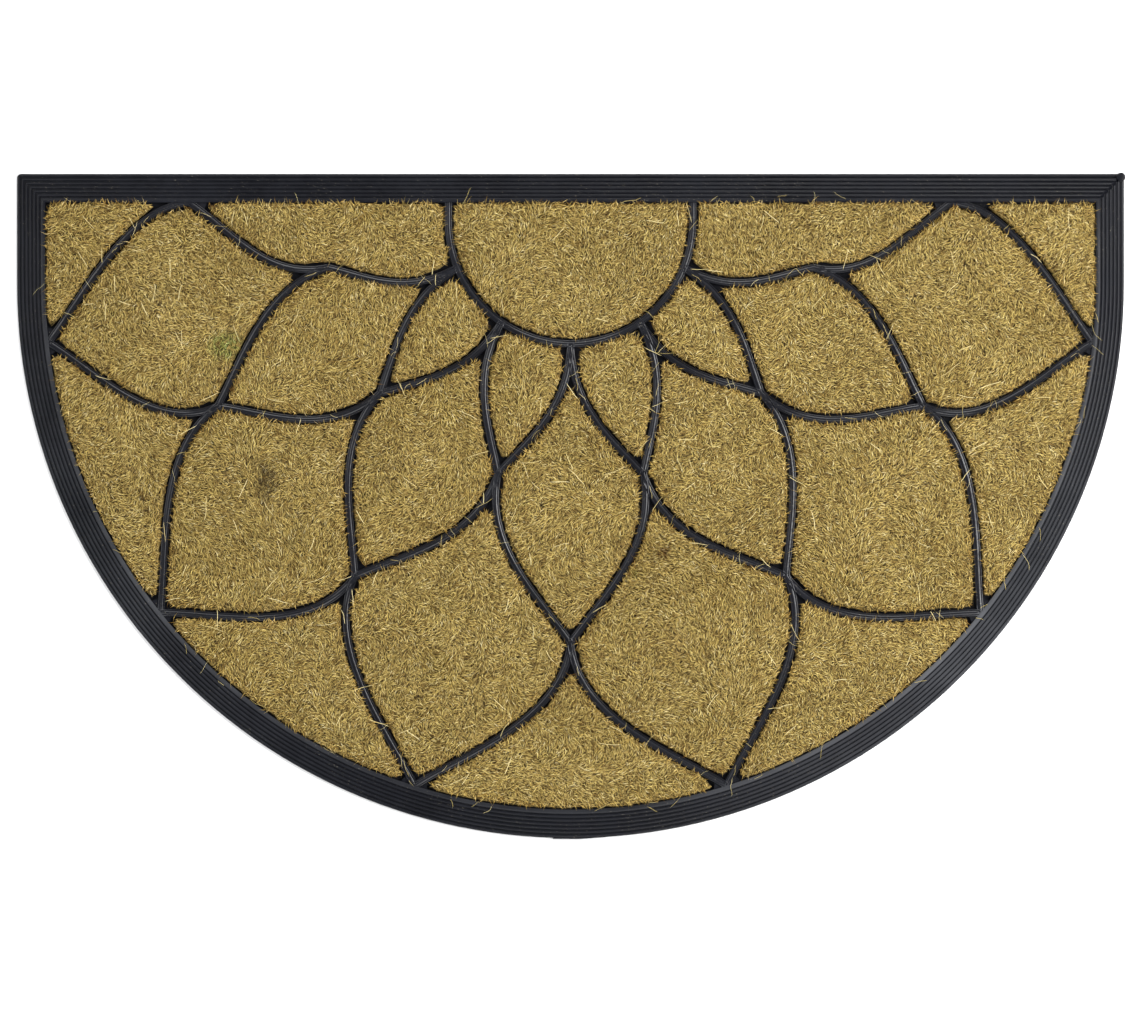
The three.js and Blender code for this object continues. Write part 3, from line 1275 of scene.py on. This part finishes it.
@dataclass
class StrayFibres:
    """Long loose fibres that lie across the dividers, the border and the pile."""

    fan: PetalFan
    lines: list[np.ndarray]
    seed: int = 41
    on_dividers: int = 90
    on_border: int = 50
    on_pile: int = 190
    rubber_kind: StrayKind = StrayKind(
        (4 * MM, 7 * MM, 18 * MM), 0.17, (0.14 * MM, 0.24 * MM), (0.7, 1)
    )
    pile_kind: StrayKind = StrayKind(
        (7 * MM, 11 * MM, 19 * MM), 0.09, (0.3 * MM, 0.46 * MM), (0.88, 1)
    )
    bends: int = 7
    lift: Pair = (0.1 * MM, 0.5 * MM)
    # height share for the painted shade: loose fibres lie near the top and are barely shaded
    above: float = 0.9
    pile_top: float = 10.2 * MM
    crest: float = 6.85 * MM
    rim_room: float = 0.6 * MM
    rim_width: float = 0.9 * MM
    border_rise: Steps = ((0, 3.1 * MM), (16.8 * MM, 6.8 * MM), (20 * MM, 6.95 * MM))
    band_share: float = 0.35
    band_margin: float = 4 * MM
    past_band: Pair = (-2 * MM, 5 * MM)
    past_arc: Pair = (-2 * MM, 6 * MM)
    border_turn: float = 1.1
    pile_margin: float = 6 * MM

    def _drape(self, plan: np.ndarray) -> np.ndarray:
        """Finds how high a fibre lies.

        Args:
            plan: Points on the plan.

        Returns:
            The height at each point.
        """
        outline = self.fan.outline
        room = Room(self.fan, self.lines).at(plan)
        share = 1 / (1 + np.exp(-(room - self.rim_room) / self.rim_width))
        on_field = self.crest + (self.pile_top - self.crest) * share
        below_arc = plan[:, 1] < outline.arc_y
        radial = outline.half_width - np.hypot(plan[:, 0], plan[:, 1] - outline.arc_y)
        inset = np.where(below_arc, radial, outline.half_width - np.abs(plan[:, 0]))
        inset = np.minimum(inset, outline.top - plan[:, 1])
        insets, heights = zip(*self.border_rise)
        return np.where(inset < outline.border, np.interp(inset, insets, heights), on_field)

    def _on_border(self, rng: np.random.Generator) -> tuple[np.ndarray, float]:
        """Finds a place on the border's inner part.

        Args:
            rng: The seeded source of chance.

        Returns:
            The place on the plan, and the direction outwards.
        """
        outline = self.fan.outline
        angle = rng.uniform(0, math.pi)
        if rng.random() < self.band_share:
            x = rng.uniform(-1, 1) * (outline.field - self.band_margin)
            return np.array([x, outline.fan_y + rng.uniform(*self.past_band)]), math.pi / 2
        radius = outline.field + rng.uniform(*self.past_arc)
        x, y = math.cos(angle) * radius, outline.arc_y - math.sin(angle) * radius
        return np.array([x, y]), -angle

    def _starts(self, rng: np.random.Generator) -> list[tuple[np.ndarray, float, StrayKind]]:
        """Chooses where the fibres lie.

        Args:
            rng: The seeded source of chance.

        Returns:
            Each fibre's middle on the plan, its direction and its kind.
        """
        outline = self.fan.outline
        made = []
        for _ in range(self.on_dividers):
            line = self.lines[rng.integers(len(self.lines))]
            place = line[rng.integers(2, len(line) - 2)]
            made.append((place, rng.uniform(0, 2 * math.pi), self.rubber_kind))
        for _ in range(self.on_border):
            place, out = self._on_border(rng)
            made.append((place, out + rng.normal(0, self.border_turn), self.rubber_kind))
        inner, top = outline.field - self.pile_margin, outline.fan_y - self.pile_margin
        while len(made) < self.on_dividers + self.on_border + self.on_pile:
            x, y = rng.uniform(-inner, inner), rng.uniform(outline.bottom, top)
            if y > outline.arc_y or math.hypot(x, y - outline.arc_y) < inner:
                made.append((np.array([x, y]), rng.uniform(0, 2 * math.pi), self.pile_kind))
        return made

    def _paths(self, rng: np.random.Generator) -> list[tuple[np.ndarray, StrayKind]]:
        """Lays out the fibres.

        Args:
            rng: The seeded source of chance.

        Returns:
            Each fibre's course on the plan, and its kind.
        """
        made = []
        for place, heading, kind in self._starts(rng):
            step = rng.triangular(*kind.length) / self.bends
            headings = heading + np.cumsum(rng.normal(0, kind.wander, self.bends))
            runs = np.stack([np.cos(headings), np.sin(headings)], axis=1) * step
            course = np.concatenate([[[0, 0]], np.cumsum(runs, axis=0)])
            made.append((place + course - course[len(course) // 2], kind))
        return made

    def build(self, material: bpy.types.Material) -> bpy.types.Object:
        """Makes the loose fibres.

        Args:
            material: The finish of the strands.

        Returns:
            The finished piece.
        """
        rng = np.random.default_rng(self.seed)
        points, faces, values = [], [], []
        start = 0
        for course, kind in self._paths(rng):
            height = self._drape(course) + rng.uniform(*self.lift)
            spine = np.column_stack([course, height])
            places, triangles = pointed_tube(spine, rng.uniform(*kind.width))
            points.append(places)
            faces.append(triangles + start)
            values.append(np.tile([rng.uniform(*kind.tone), self.above, 0], (len(places), 1)))
            start += len(places)
        arrays = (np.concatenate(batches) for batches in (points, faces, values))
        made = joined_mesh("stray_fibres", *arrays)
        dress(made, "stray_fibres", material)
        return made


# Finishes


class Value:
    """A number in a node tree, on which Python's arithmetic adds Math nodes."""

    def __init__(self, tree: "NodeSheet", socket: bpy.types.NodeSocket) -> None:
        """Wraps an output socket of a tree."""
        self.tree = tree
        self.socket = socket

    def _math(self, operation: str, first: "Value | float", second: "Value | float") -> "Value":
        """Adds one Math node."""
        node = self.tree.node("ShaderNodeMath", {"operation": operation}, {0: first, 1: second})
        return Value(self.tree, node.outputs[0])

    def __add__(self, other: "Value | float") -> "Value":
        """Adds."""
        return self._math("ADD", self, other)

    def __sub__(self, other: "Value | float") -> "Value":
        """Subtracts."""
        return self._math("SUBTRACT", self, other)

    def __rsub__(self, other: "Value | float") -> "Value":
        """Subtracts from a number."""
        return self._math("SUBTRACT", other, self)

    def __mul__(self, other: "Value | float") -> "Value":
        """Multiplies."""
        return self._math("MULTIPLY", self, other)

    def __pow__(self, other: "Value | float") -> "Value":
        """Raises to a power."""
        return self._math("POWER", self, other)

    __radd__ = __add__
    __rmul__ = __mul__


Feed = Value | bpy.types.NodeSocket | float | tuple[float, ...]


@dataclass(frozen=True)
class Grain:
    """A noise of a finish, and the values of it that become 0 and 1."""

    scale: float
    detail: float
    roughness: float
    low: float = 0
    high: float = 1


class NodeSheet:
    """A new material's node tree, with one method that makes every node."""

    def __init__(self, name: str) -> None:
        """Starts a material with only its output and a Principled shader.

        Args:
            name: The material's name.
        """
        self.material = bpy.data.materials.new(name)
        self.material.use_nodes = True
        self.tree = self.material.node_tree
        self.tree.nodes.clear()
        self.output = self.node("ShaderNodeOutputMaterial")
        self.shader = self.node("ShaderNodeBsdfPrincipled")
        self.link(self.shader.outputs[0], self.output.inputs["Surface"])
        self.place = self.node("ShaderNodeTexCoord").outputs["Object"]

    def link(self, source: bpy.types.NodeSocket, target: bpy.types.NodeSocket) -> None:
        """Links two sockets."""
        self.tree.links.new(source, target)

    def node(
        self,
        kind: str,
        settings: dict[str, Any] | None = None,
        inputs: dict[int | str, Feed] | None = None,
    ) -> bpy.types.Node:
        """Makes a node.

        Args:
            kind: The node's type.
            settings: Its own settings; "stops" are a colour ramp's places and colours.
            inputs: Values or links for its sockets, by name or number.

        Returns:
            The new node.
        """
        made = self.tree.nodes.new(kind)
        for name, value in (settings or {}).items():
            if name == "stops":
                self._set_stops(made.color_ramp, value)
            else:
                setattr(made, name, value)
        for key, value in (inputs or {}).items():
            self.feed(made.inputs[key], value)
        return made

    def _set_stops(self, ramp: bpy.types.ColorRamp, stops: Stops) -> None:
        """Gives a colour ramp its stops.

        Args:
            ramp: The ramp.
            stops: Places and colours.
        """
        while len(ramp.elements) > 1:
            ramp.elements.remove(ramp.elements[-1])
        for number, (place, colour) in enumerate(stops):
            stop = ramp.elements[0] if number == 0 else ramp.elements.new(place)
            stop.position = place
            stop.color = (*colour, 1)

    def feed(self, socket: bpy.types.NodeSocket, value: Feed) -> None:
        """Links a socket to a value, or sets it.

        Args:
            socket: An input.
            value: What it gets.
        """
        if isinstance(value, Value):
            self.link(value.socket, socket)
        elif isinstance(value, bpy.types.NodeSocket):
            self.link(value, socket)
        else:
            socket.default_value = value

    def noise(self, grain: Grain) -> Value:
        """Makes a noise over the object.

        Args:
            grain: The noise's sizes.

        Returns:
            A value between about 0.3 and 0.7.
        """
        inputs = {
            "Vector": self.place,
            "Scale": grain.scale,
            "Detail": grain.detail,
            "Roughness": grain.roughness,
        }
        return Value(self, self.node("ShaderNodeTexNoise", {}, inputs).outputs[0])

    def patches(self, grain: Grain) -> Value:
        """Returns a noise over the object that is stretched to 0 and 1."""
        return self.spread(self.noise(grain), grain.low, grain.high)

    def spread(self, value: Value, low: float, high: float) -> Value:
        """Stretches a value so that low becomes 0 and high becomes 1, and clamps it."""
        inputs = {"Value": value, "From Min": low, "From Max": high}
        return Value(self, self.node("ShaderNodeMapRange", {}, inputs).outputs[0])

    def mix(
        self, factor: Feed, first: Feed, second: Feed, blend: str = "MIX"
    ) -> bpy.types.NodeSocket:
        """Mixes two colours.

        Args:
            factor: How much of the second there is.
            first: A colour.
            second: A colour.
            blend: The kind of mix.

        Returns:
            The mixed colour.
        """
        settings = {"data_type": "RGBA", "blend_type": blend}
        node = self.node("ShaderNodeMix", settings, {0: factor, 6: first, 7: second})
        return node.outputs[2]

    def tint(self, colour: Feed, tint: Colour) -> bpy.types.NodeSocket:
        """Multiplies a colour by a tint."""
        return self.mix(1.0, colour, (*tint, 1), "MULTIPLY")

    def strokes(self, length: float, width: float, patch: float) -> Value:
        """Returns fine strokes whose heading changes from patch to patch.

        Args:
            length: A stroke's usual length.
            width: A stroke's usual width.
            patch: The usual size of a patch of one heading.

        Returns:
            A noise between about 0.3 and 0.7.
        """
        patches = self.node(
            "ShaderNodeTexVoronoi",
            {"voronoi_dimensions": "2D"},
            {"Vector": self.place, "Scale": 1 / patch},
        )
        parts = self.node("ShaderNodeSeparateColor", {}, {0: patches.outputs["Color"]})
        heading = Value(self, parts.outputs[0]) * (2 * math.pi)
        turned = self.node(
            "ShaderNodeVectorRotate",
            {"rotation_type": "Z_AXIS"},
            {"Vector": self.place, "Angle": heading},
        )
        stretch = (1 / length, 1 / width, 1 / width)
        scaled = self.node(
            "ShaderNodeVectorMath", {"operation": "MULTIPLY"}, {0: turned.outputs[0], 1: stretch}
        )
        inputs = {"Vector": scaled.outputs[0], "Scale": 1, "Detail": 1.5, "Roughness": 0.5}
        return Value(self, self.node("ShaderNodeTexNoise", {}, inputs).outputs[0])

    def near(self, place: Pair, reach: Pair) -> Value:
        """Makes a soft oval spot.

        Args:
            place: The spot's middle on the plan.
            reach: How far it goes along x and along y.

        Returns:
            1 at the middle and 0 past the spot.
        """
        parts = self.node("ShaderNodeSeparateXYZ", {}, {0: self.place})
        across = (Value(self, parts.outputs[0]) - place[0]) * (1 / reach[0])
        up = (Value(self, parts.outputs[1]) - place[1]) * (1 / reach[1])
        distance = (across * across + up * up) ** 0.5
        return self.spread(distance, 1, 0)


@dataclass(frozen=True)
class Spot:
    """An oval spot of a finish: its middle, its reach along x and y, its strength and tint."""

    place: Pair
    reach: Pair
    strength: float
    tint: Colour = (1, 1, 1)


@dataclass(frozen=True)
class RubberFinish:
    """Moulded black rubber, a little dusty, faintly blue; its border greyed by wear and painted
    sheen.
    """

    dark: Colour = (0.0038, 0.004, 0.0058)
    bloom: Colour = (0.008, 0.0088, 0.0125)
    dust: Colour = (0.15, 0.135, 0.105)
    # the colour of the border's grey wear and painted sheen
    grey: Colour = (0.097, 0.1, 0.107)
    clouds: Grain = Grain(16, 4, 0.6, 0.35, 0.68)
    streaks: Grain = Grain(180, 3, 0.6, 0.4, 0.7)
    specks: Grain = Grain(950, 1, 0.5, 0.695, 0.75)
    speck_fields: Grain = Grain(60, 2, 0.5, 0.42, 0.6)
    pores: Grain = Grain(1400, 2, 0.6)
    ripples: Grain = Grain(260, 2, 0.5)
    bloom_shares: Pair = (0.55, 0.3)
    dust_share: float = 0.75
    # painted sheen: spots that grey the border most on the right and lower side, where the lamps'
    # reflection falls
    sheen_spots: tuple[Spot, ...] = (
        Spot((270 * MM, -120 * MM), (250 * MM, 270 * MM), 0.35),
        Spot((-340 * MM, -50 * MM), (240 * MM, 280 * MM), 0.17),
    )
    # grey wear and painted sheen on the land, and how the spots and clouds scale the grey
    land_grey_and_sheen: float = 0.09
    land_share: float = 0.8
    grey_range: Pair = (0.7, 0.6)
    roughness: float = 0.28
    rough_shares: Pair = (0.16, 0.08)
    specular: float = 0.12
    polish: float = 0.44
    polish_loss: float = 0.3
    polish_roughness: float = 0.14
    ripple_share: float = 0.6
    relief: float = 0.1 * MM
    relief_strength: float = 0.2

    def _grey_wear_and_sheen(self, sheet: NodeSheet, clouds: Value) -> Value:
        """Works out how grey the border is, by wear and by painted sheen that is strongest on the
        right and lower side.

        Args:
            sheet: The material.
            clouds: Where the rubber is cloudy.

        Returns:
            The share of grey wear and painted sheen, on ribs and land alone.
        """
        worn_and_sheen = sheet.node("ShaderNodeAttribute", {"attribute_name": "worn_and_sheen"})
        worn_and_sheen = Value(sheet, worn_and_sheen.outputs["Fac"])
        sheen_spots = 0
        for spot in self.sheen_spots:
            sheen_spots = sheen_spots + sheet.near(spot.place, spot.reach) * spot.strength
        on_land = sheet.spread(worn_and_sheen, 1, 2) * (self.land_grey_and_sheen + self.land_share * sheen_spots)
        least, more = self.grey_range
        return (sheet.spread(worn_and_sheen, 0, 1) * sheen_spots + on_land) * (least + more * clouds)

    def material(self) -> bpy.types.Material:
        """Builds the material.

        Returns:
            The material.
        """
        sheet = NodeSheet("rubber_black")
        inputs = sheet.shader.inputs
        clouds, streaks = sheet.patches(self.clouds), sheet.patches(self.streaks)
        bloom = clouds * self.bloom_shares[0] + streaks * self.bloom_shares[1]
        colour = sheet.mix(bloom, (*self.dark, 1), (*self.bloom, 1))
        dust = sheet.patches(self.specks) * sheet.patches(self.speck_fields) * self.dust_share
        colour = sheet.mix(dust, colour, (*self.dust, 1))
        # grey wear and painted sheen on the border's ribs and land
        colour = sheet.mix(self._grey_wear_and_sheen(sheet, clouds), colour, (*self.grey, 1))
        sheet.feed(inputs["Base Color"], colour)
        rough = self.rough_shares[0] * clouds + self.rough_shares[1] * streaks
        sheet.feed(inputs["Roughness"], self.roughness + rough)
        inputs["Specular IOR Level"].default_value = self.specular
        polished = sheet.node("ShaderNodeAttribute", {"attribute_name": "polished"})
        coat = Value(sheet, polished.outputs["Fac"]) * (self.polish - self.polish_loss * clouds)
        sheet.feed(inputs["Coat Weight"], coat)
        inputs["Coat Roughness"].default_value = self.polish_roughness
        height = sheet.noise(self.pores) + self.ripple_share * sheet.noise(self.ripples)
        relief = {"Height": height, "Strength": self.relief_strength, "Distance": self.relief}
        sheet.feed(inputs["Normal"], sheet.node("ShaderNodeBump", {}, relief).outputs[0])
        return sheet.material


@dataclass(frozen=True)
class CoirFinish:
    """Golden tan coir, mottled, browner along the edges of each inlay, with a few stains and
    painted shade low in the pile.
    """

    layer: Layer
    roughness: float = 0.82
    specular: float = 0.12
    tones: Stops = (
        (0.0, (0.075, 0.038, 0.011)),
        (0.2, (0.3, 0.184, 0.046)),
        (0.42, (0.56, 0.414, 0.117)),
        (0.6, (0.66, 0.507, 0.16)),
        (0.8, (0.78, 0.62, 0.236)),
        (1.0, (0.9, 0.775, 0.42)),
    )
    # the coir's own strokes, with the darkest stops as painted shade in the gaps between fibres
    backing: Stops = (
        (0.36, (0.01, 0.0062, 0.002)),
        (0.46, (0.055, 0.036, 0.011)),
        (0.57, (0.21, 0.148, 0.046)),
        (0.68, (0.39, 0.285, 0.096)),
    )
    strokes: tuple[float, float, float] = (3 * MM, 0.55 * MM, 4.5 * MM)
    stroke_relief: float = 0.5 * MM
    mottle: Grain = Grain(26, 3, 0.55, 0.36, 0.66)
    rim_tint: Colour = (0.98, 0.66, 0.36)
    rim_share: float = 0.5
    dull_tint: Colour = (0.76, 0.72, 0.62)
    dull_share: float = 0.4
    root_shade: float = 0.22
    stain_grain: Grain = Grain(420, 2, 0.6, 0.36, 0.56)
    stains: tuple[Spot, ...] = (
        Spot((-209 * MM, 17 * MM), (10 * MM, 19 * MM), 2.2, (0.42, 0.41, 0.45)),
        Spot((64 * MM, -32 * MM), (7 * MM, 6 * MM), 1.7, (0.3, 0.22, 0.19)),
        Spot((44 * MM, -46 * MM), (4 * MM, 4 * MM), 1.4, (0.4, 0.44, 0.34)),
        Spot((-237 * MM, 110 * MM), (15 * MM, 12 * MM), 2.1, (0.66, 0.9, 0.74)),
        Spot((-228 * MM, 100 * MM), (7 * MM, 7 * MM), 0.7, (0.76, 0.96, 0.8)),
    )

    def _strand_colour(self, sheet: NodeSheet) -> bpy.types.NodeSocket:
        """Colours the fibres by tone, with painted shade that darkens them towards their roots and
        low in the pile, and browner near the rim.

        Args:
            sheet: The material.

        Returns:
            The colour.
        """
        strand = sheet.node("ShaderNodeAttribute", {"attribute_name": "strand"})
        parts = sheet.node("ShaderNodeSeparateXYZ", {}, {0: strand.outputs["Vector"]})
        tone, above, rim = (Value(sheet, output) for output in parts.outputs)
        ramp = sheet.node("ShaderNodeValToRGB", {"stops": self.tones}, {0: tone})
        # painted shade: fibres darken towards the bottom of the pile, where the clumps would shade
        # them
        shade = self.root_shade + (1 - self.root_shade) * above
        grey = sheet.node("ShaderNodeCombineColor", {}, {0: shade, 1: shade, 2: shade})
        colour = sheet.mix(1.0, ramp.outputs[0], grey.outputs[0], "MULTIPLY")
        return sheet.mix(rim * self.rim_share, colour, sheet.tint(colour, self.rim_tint))

    def _backing_colour(self, sheet: NodeSheet) -> bpy.types.NodeSocket:
        """Colours and roughens the backing with matted strokes, darkened as painted shade of the
        gaps between the fibres.

        Args:
            sheet: The material.

        Returns:
            The colour.
        """
        strokes = sheet.strokes(*self.strokes)
        relief = {"Height": strokes, "Distance": self.stroke_relief}
        bump = sheet.node("ShaderNodeBump", {}, relief)
        sheet.feed(sheet.shader.inputs["Normal"], bump.outputs[0])
        return sheet.node("ShaderNodeValToRGB", {"stops": self.backing}, {0: strokes}).outputs[0]

    def material(self) -> bpy.types.Material:
        """Builds the material for the finish's layer.

        Returns:
            The material.
        """
        sheet = NodeSheet(f"coir_{self.layer.value}")
        if self.layer is Layer.STRANDS:
            colour = self._strand_colour(sheet)
        else:
            colour = self._backing_colour(sheet)
        dull = sheet.patches(self.mottle) * self.dull_share
        colour = sheet.mix(dull, colour, sheet.tint(colour, self.dull_tint))
        patchy = sheet.patches(self.stain_grain)
        for stain in self.stains:
            amount = sheet.near(stain.place, stain.reach) * patchy * stain.strength
            colour = sheet.mix(amount, colour, sheet.tint(colour, stain.tint))
        sheet.feed(sheet.shader.inputs["Base Color"], colour)
        sheet.shader.inputs["Roughness"].default_value = self.roughness
        sheet.shader.inputs["Specular IOR Level"].default_value = self.specular
        return sheet.material


@dataclass(frozen=True)
class FloorFinish:
    """A plain pale floor."""

    colour: Colour = (0.86, 0.86, 0.86)
    roughness: float = 0.9

    def material(self) -> bpy.types.Material:
        """Builds the material.

        Returns:
            The material.
        """
        sheet = NodeSheet("floor_pale")
        sheet.shader.inputs["Base Color"].default_value = (*self.colour, 1)
        sheet.shader.inputs["Roughness"].default_value = self.roughness
        return sheet.material


# Studio


@dataclass(frozen=True)
class Lamp:
    """A square soft light that faces the mat: its place, its width and its power in watts."""

    name: str
    place: tuple[float, float, float]
    size: float
    power: float

    def build(self) -> None:
        """Adds the light."""
        bpy.ops.object.light_add(type="AREA", location=self.place)
        light = bpy.context.object
        light.name = self.name
        light.data.size = self.size
        light.data.energy = self.power
        light.rotation_euler = (-Vector(self.place)).to_track_quat("-Z", "Y").to_euler()


@dataclass
class Studio:
    """The floor, the soft lights and the camera straight above the mat."""

    frame_width: float = 0.7896
    camera_height: float = 2.6
    camera_place: Pair = (1.7 * MM, -2.4 * MM)
    sensor: float = 36
    floor_size: float = 12
    floor_gap: float = 0.2 * MM
    lamps: tuple[Lamp, ...] = (
        Lamp("light_right", (1.6, 0.2, 1.5), 1.2, 69),
        Lamp("light_left", (-2.0, 0.9, 2.1), 1.6, 36),
        Lamp("light_front", (0.2, -2.2, 2.0), 1.6, 52),
        Lamp("light_back", (0.1, 2.3, 1.9), 1.5, 58),
    )
    sky: Colour = (0.95, 0.97, 1)
    sky_strength: float = 0.22

    def build(self) -> None:
        """Makes the floor, the lights, the sky's light and the camera."""
        bpy.ops.mesh.primitive_plane_add(size=self.floor_size, location=(0, 0, -self.floor_gap))
        floor = bpy.context.object
        floor.name = "floor"
        floor.data.materials.append(FloorFinish().material())
        for lamp in self.lamps:
            lamp.build()
        world = bpy.data.worlds.new("studio")
        world.use_nodes = True
        sky = world.node_tree.nodes["Background"]
        sky.inputs[0].default_value = (*self.sky, 1)
        sky.inputs[1].default_value = self.sky_strength
        bpy.context.scene.world = world
        bpy.context.scene.view_settings.view_transform = "Standard"
        bpy.ops.object.camera_add(location=(*self.camera_place, self.camera_height))
        camera = bpy.context.object
        camera.rotation_euler = (0, 0, 0)
        camera.data.sensor_width = self.sensor
        camera.data.lens = self.sensor * self.camera_height / self.frame_width
        bpy.context.scene.camera = camera


def main() -> None:
    """Builds the mat's sub-assemblies in order."""
    logging.basicConfig(level=logging.INFO, format="%(name)s: %(message)s")
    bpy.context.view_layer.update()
    low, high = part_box("rubber_tray")
    outline = Outline(half_width=(high[0] - low[0]) / 2, top=high[1], bottom=low[1])
    fan = PetalFan(outline)
    lines = fan.lines()
    tray = RubberTray(fan, lines).build(RubberFinish().material())
    log.info("%s: %d faces", tray.name, len(tray.data.polygons))
    finishes = {layer: CoirFinish(layer).material() for layer in Layer}
    room = Room(fan, lines)
    fields = {
        "lumps": Waves(16 * MM, 48 * MM, seed=3),
        "lean": Waves(120 * MM, 360 * MM, seed=5),
        "rags": Waves(3 * MM, 8 * MM, seed=9),
        "wobble": Waves(11 * MM, 30 * MM, seed=11),
    }
    total = 0
    for number, cell in enumerate(fan.cells()):
        inlay = CoirInlay(CellShape(cell, room), seed=FIRST_SEED + number, **fields)
        count = inlay.build(finishes)
        total += count
        log.info("%s: %d fibres", cell.node, count)
    log.info("fibres in all: %d", total)
    strays = StrayFibres(fan, lines).build(finishes[Layer.STRANDS])
    log.info("%s: %d faces", strays.name, len(strays.data.polygons))
    Studio().build()
    bpy.context.view_layer.update()


if __name__ == "__main__":
    main()
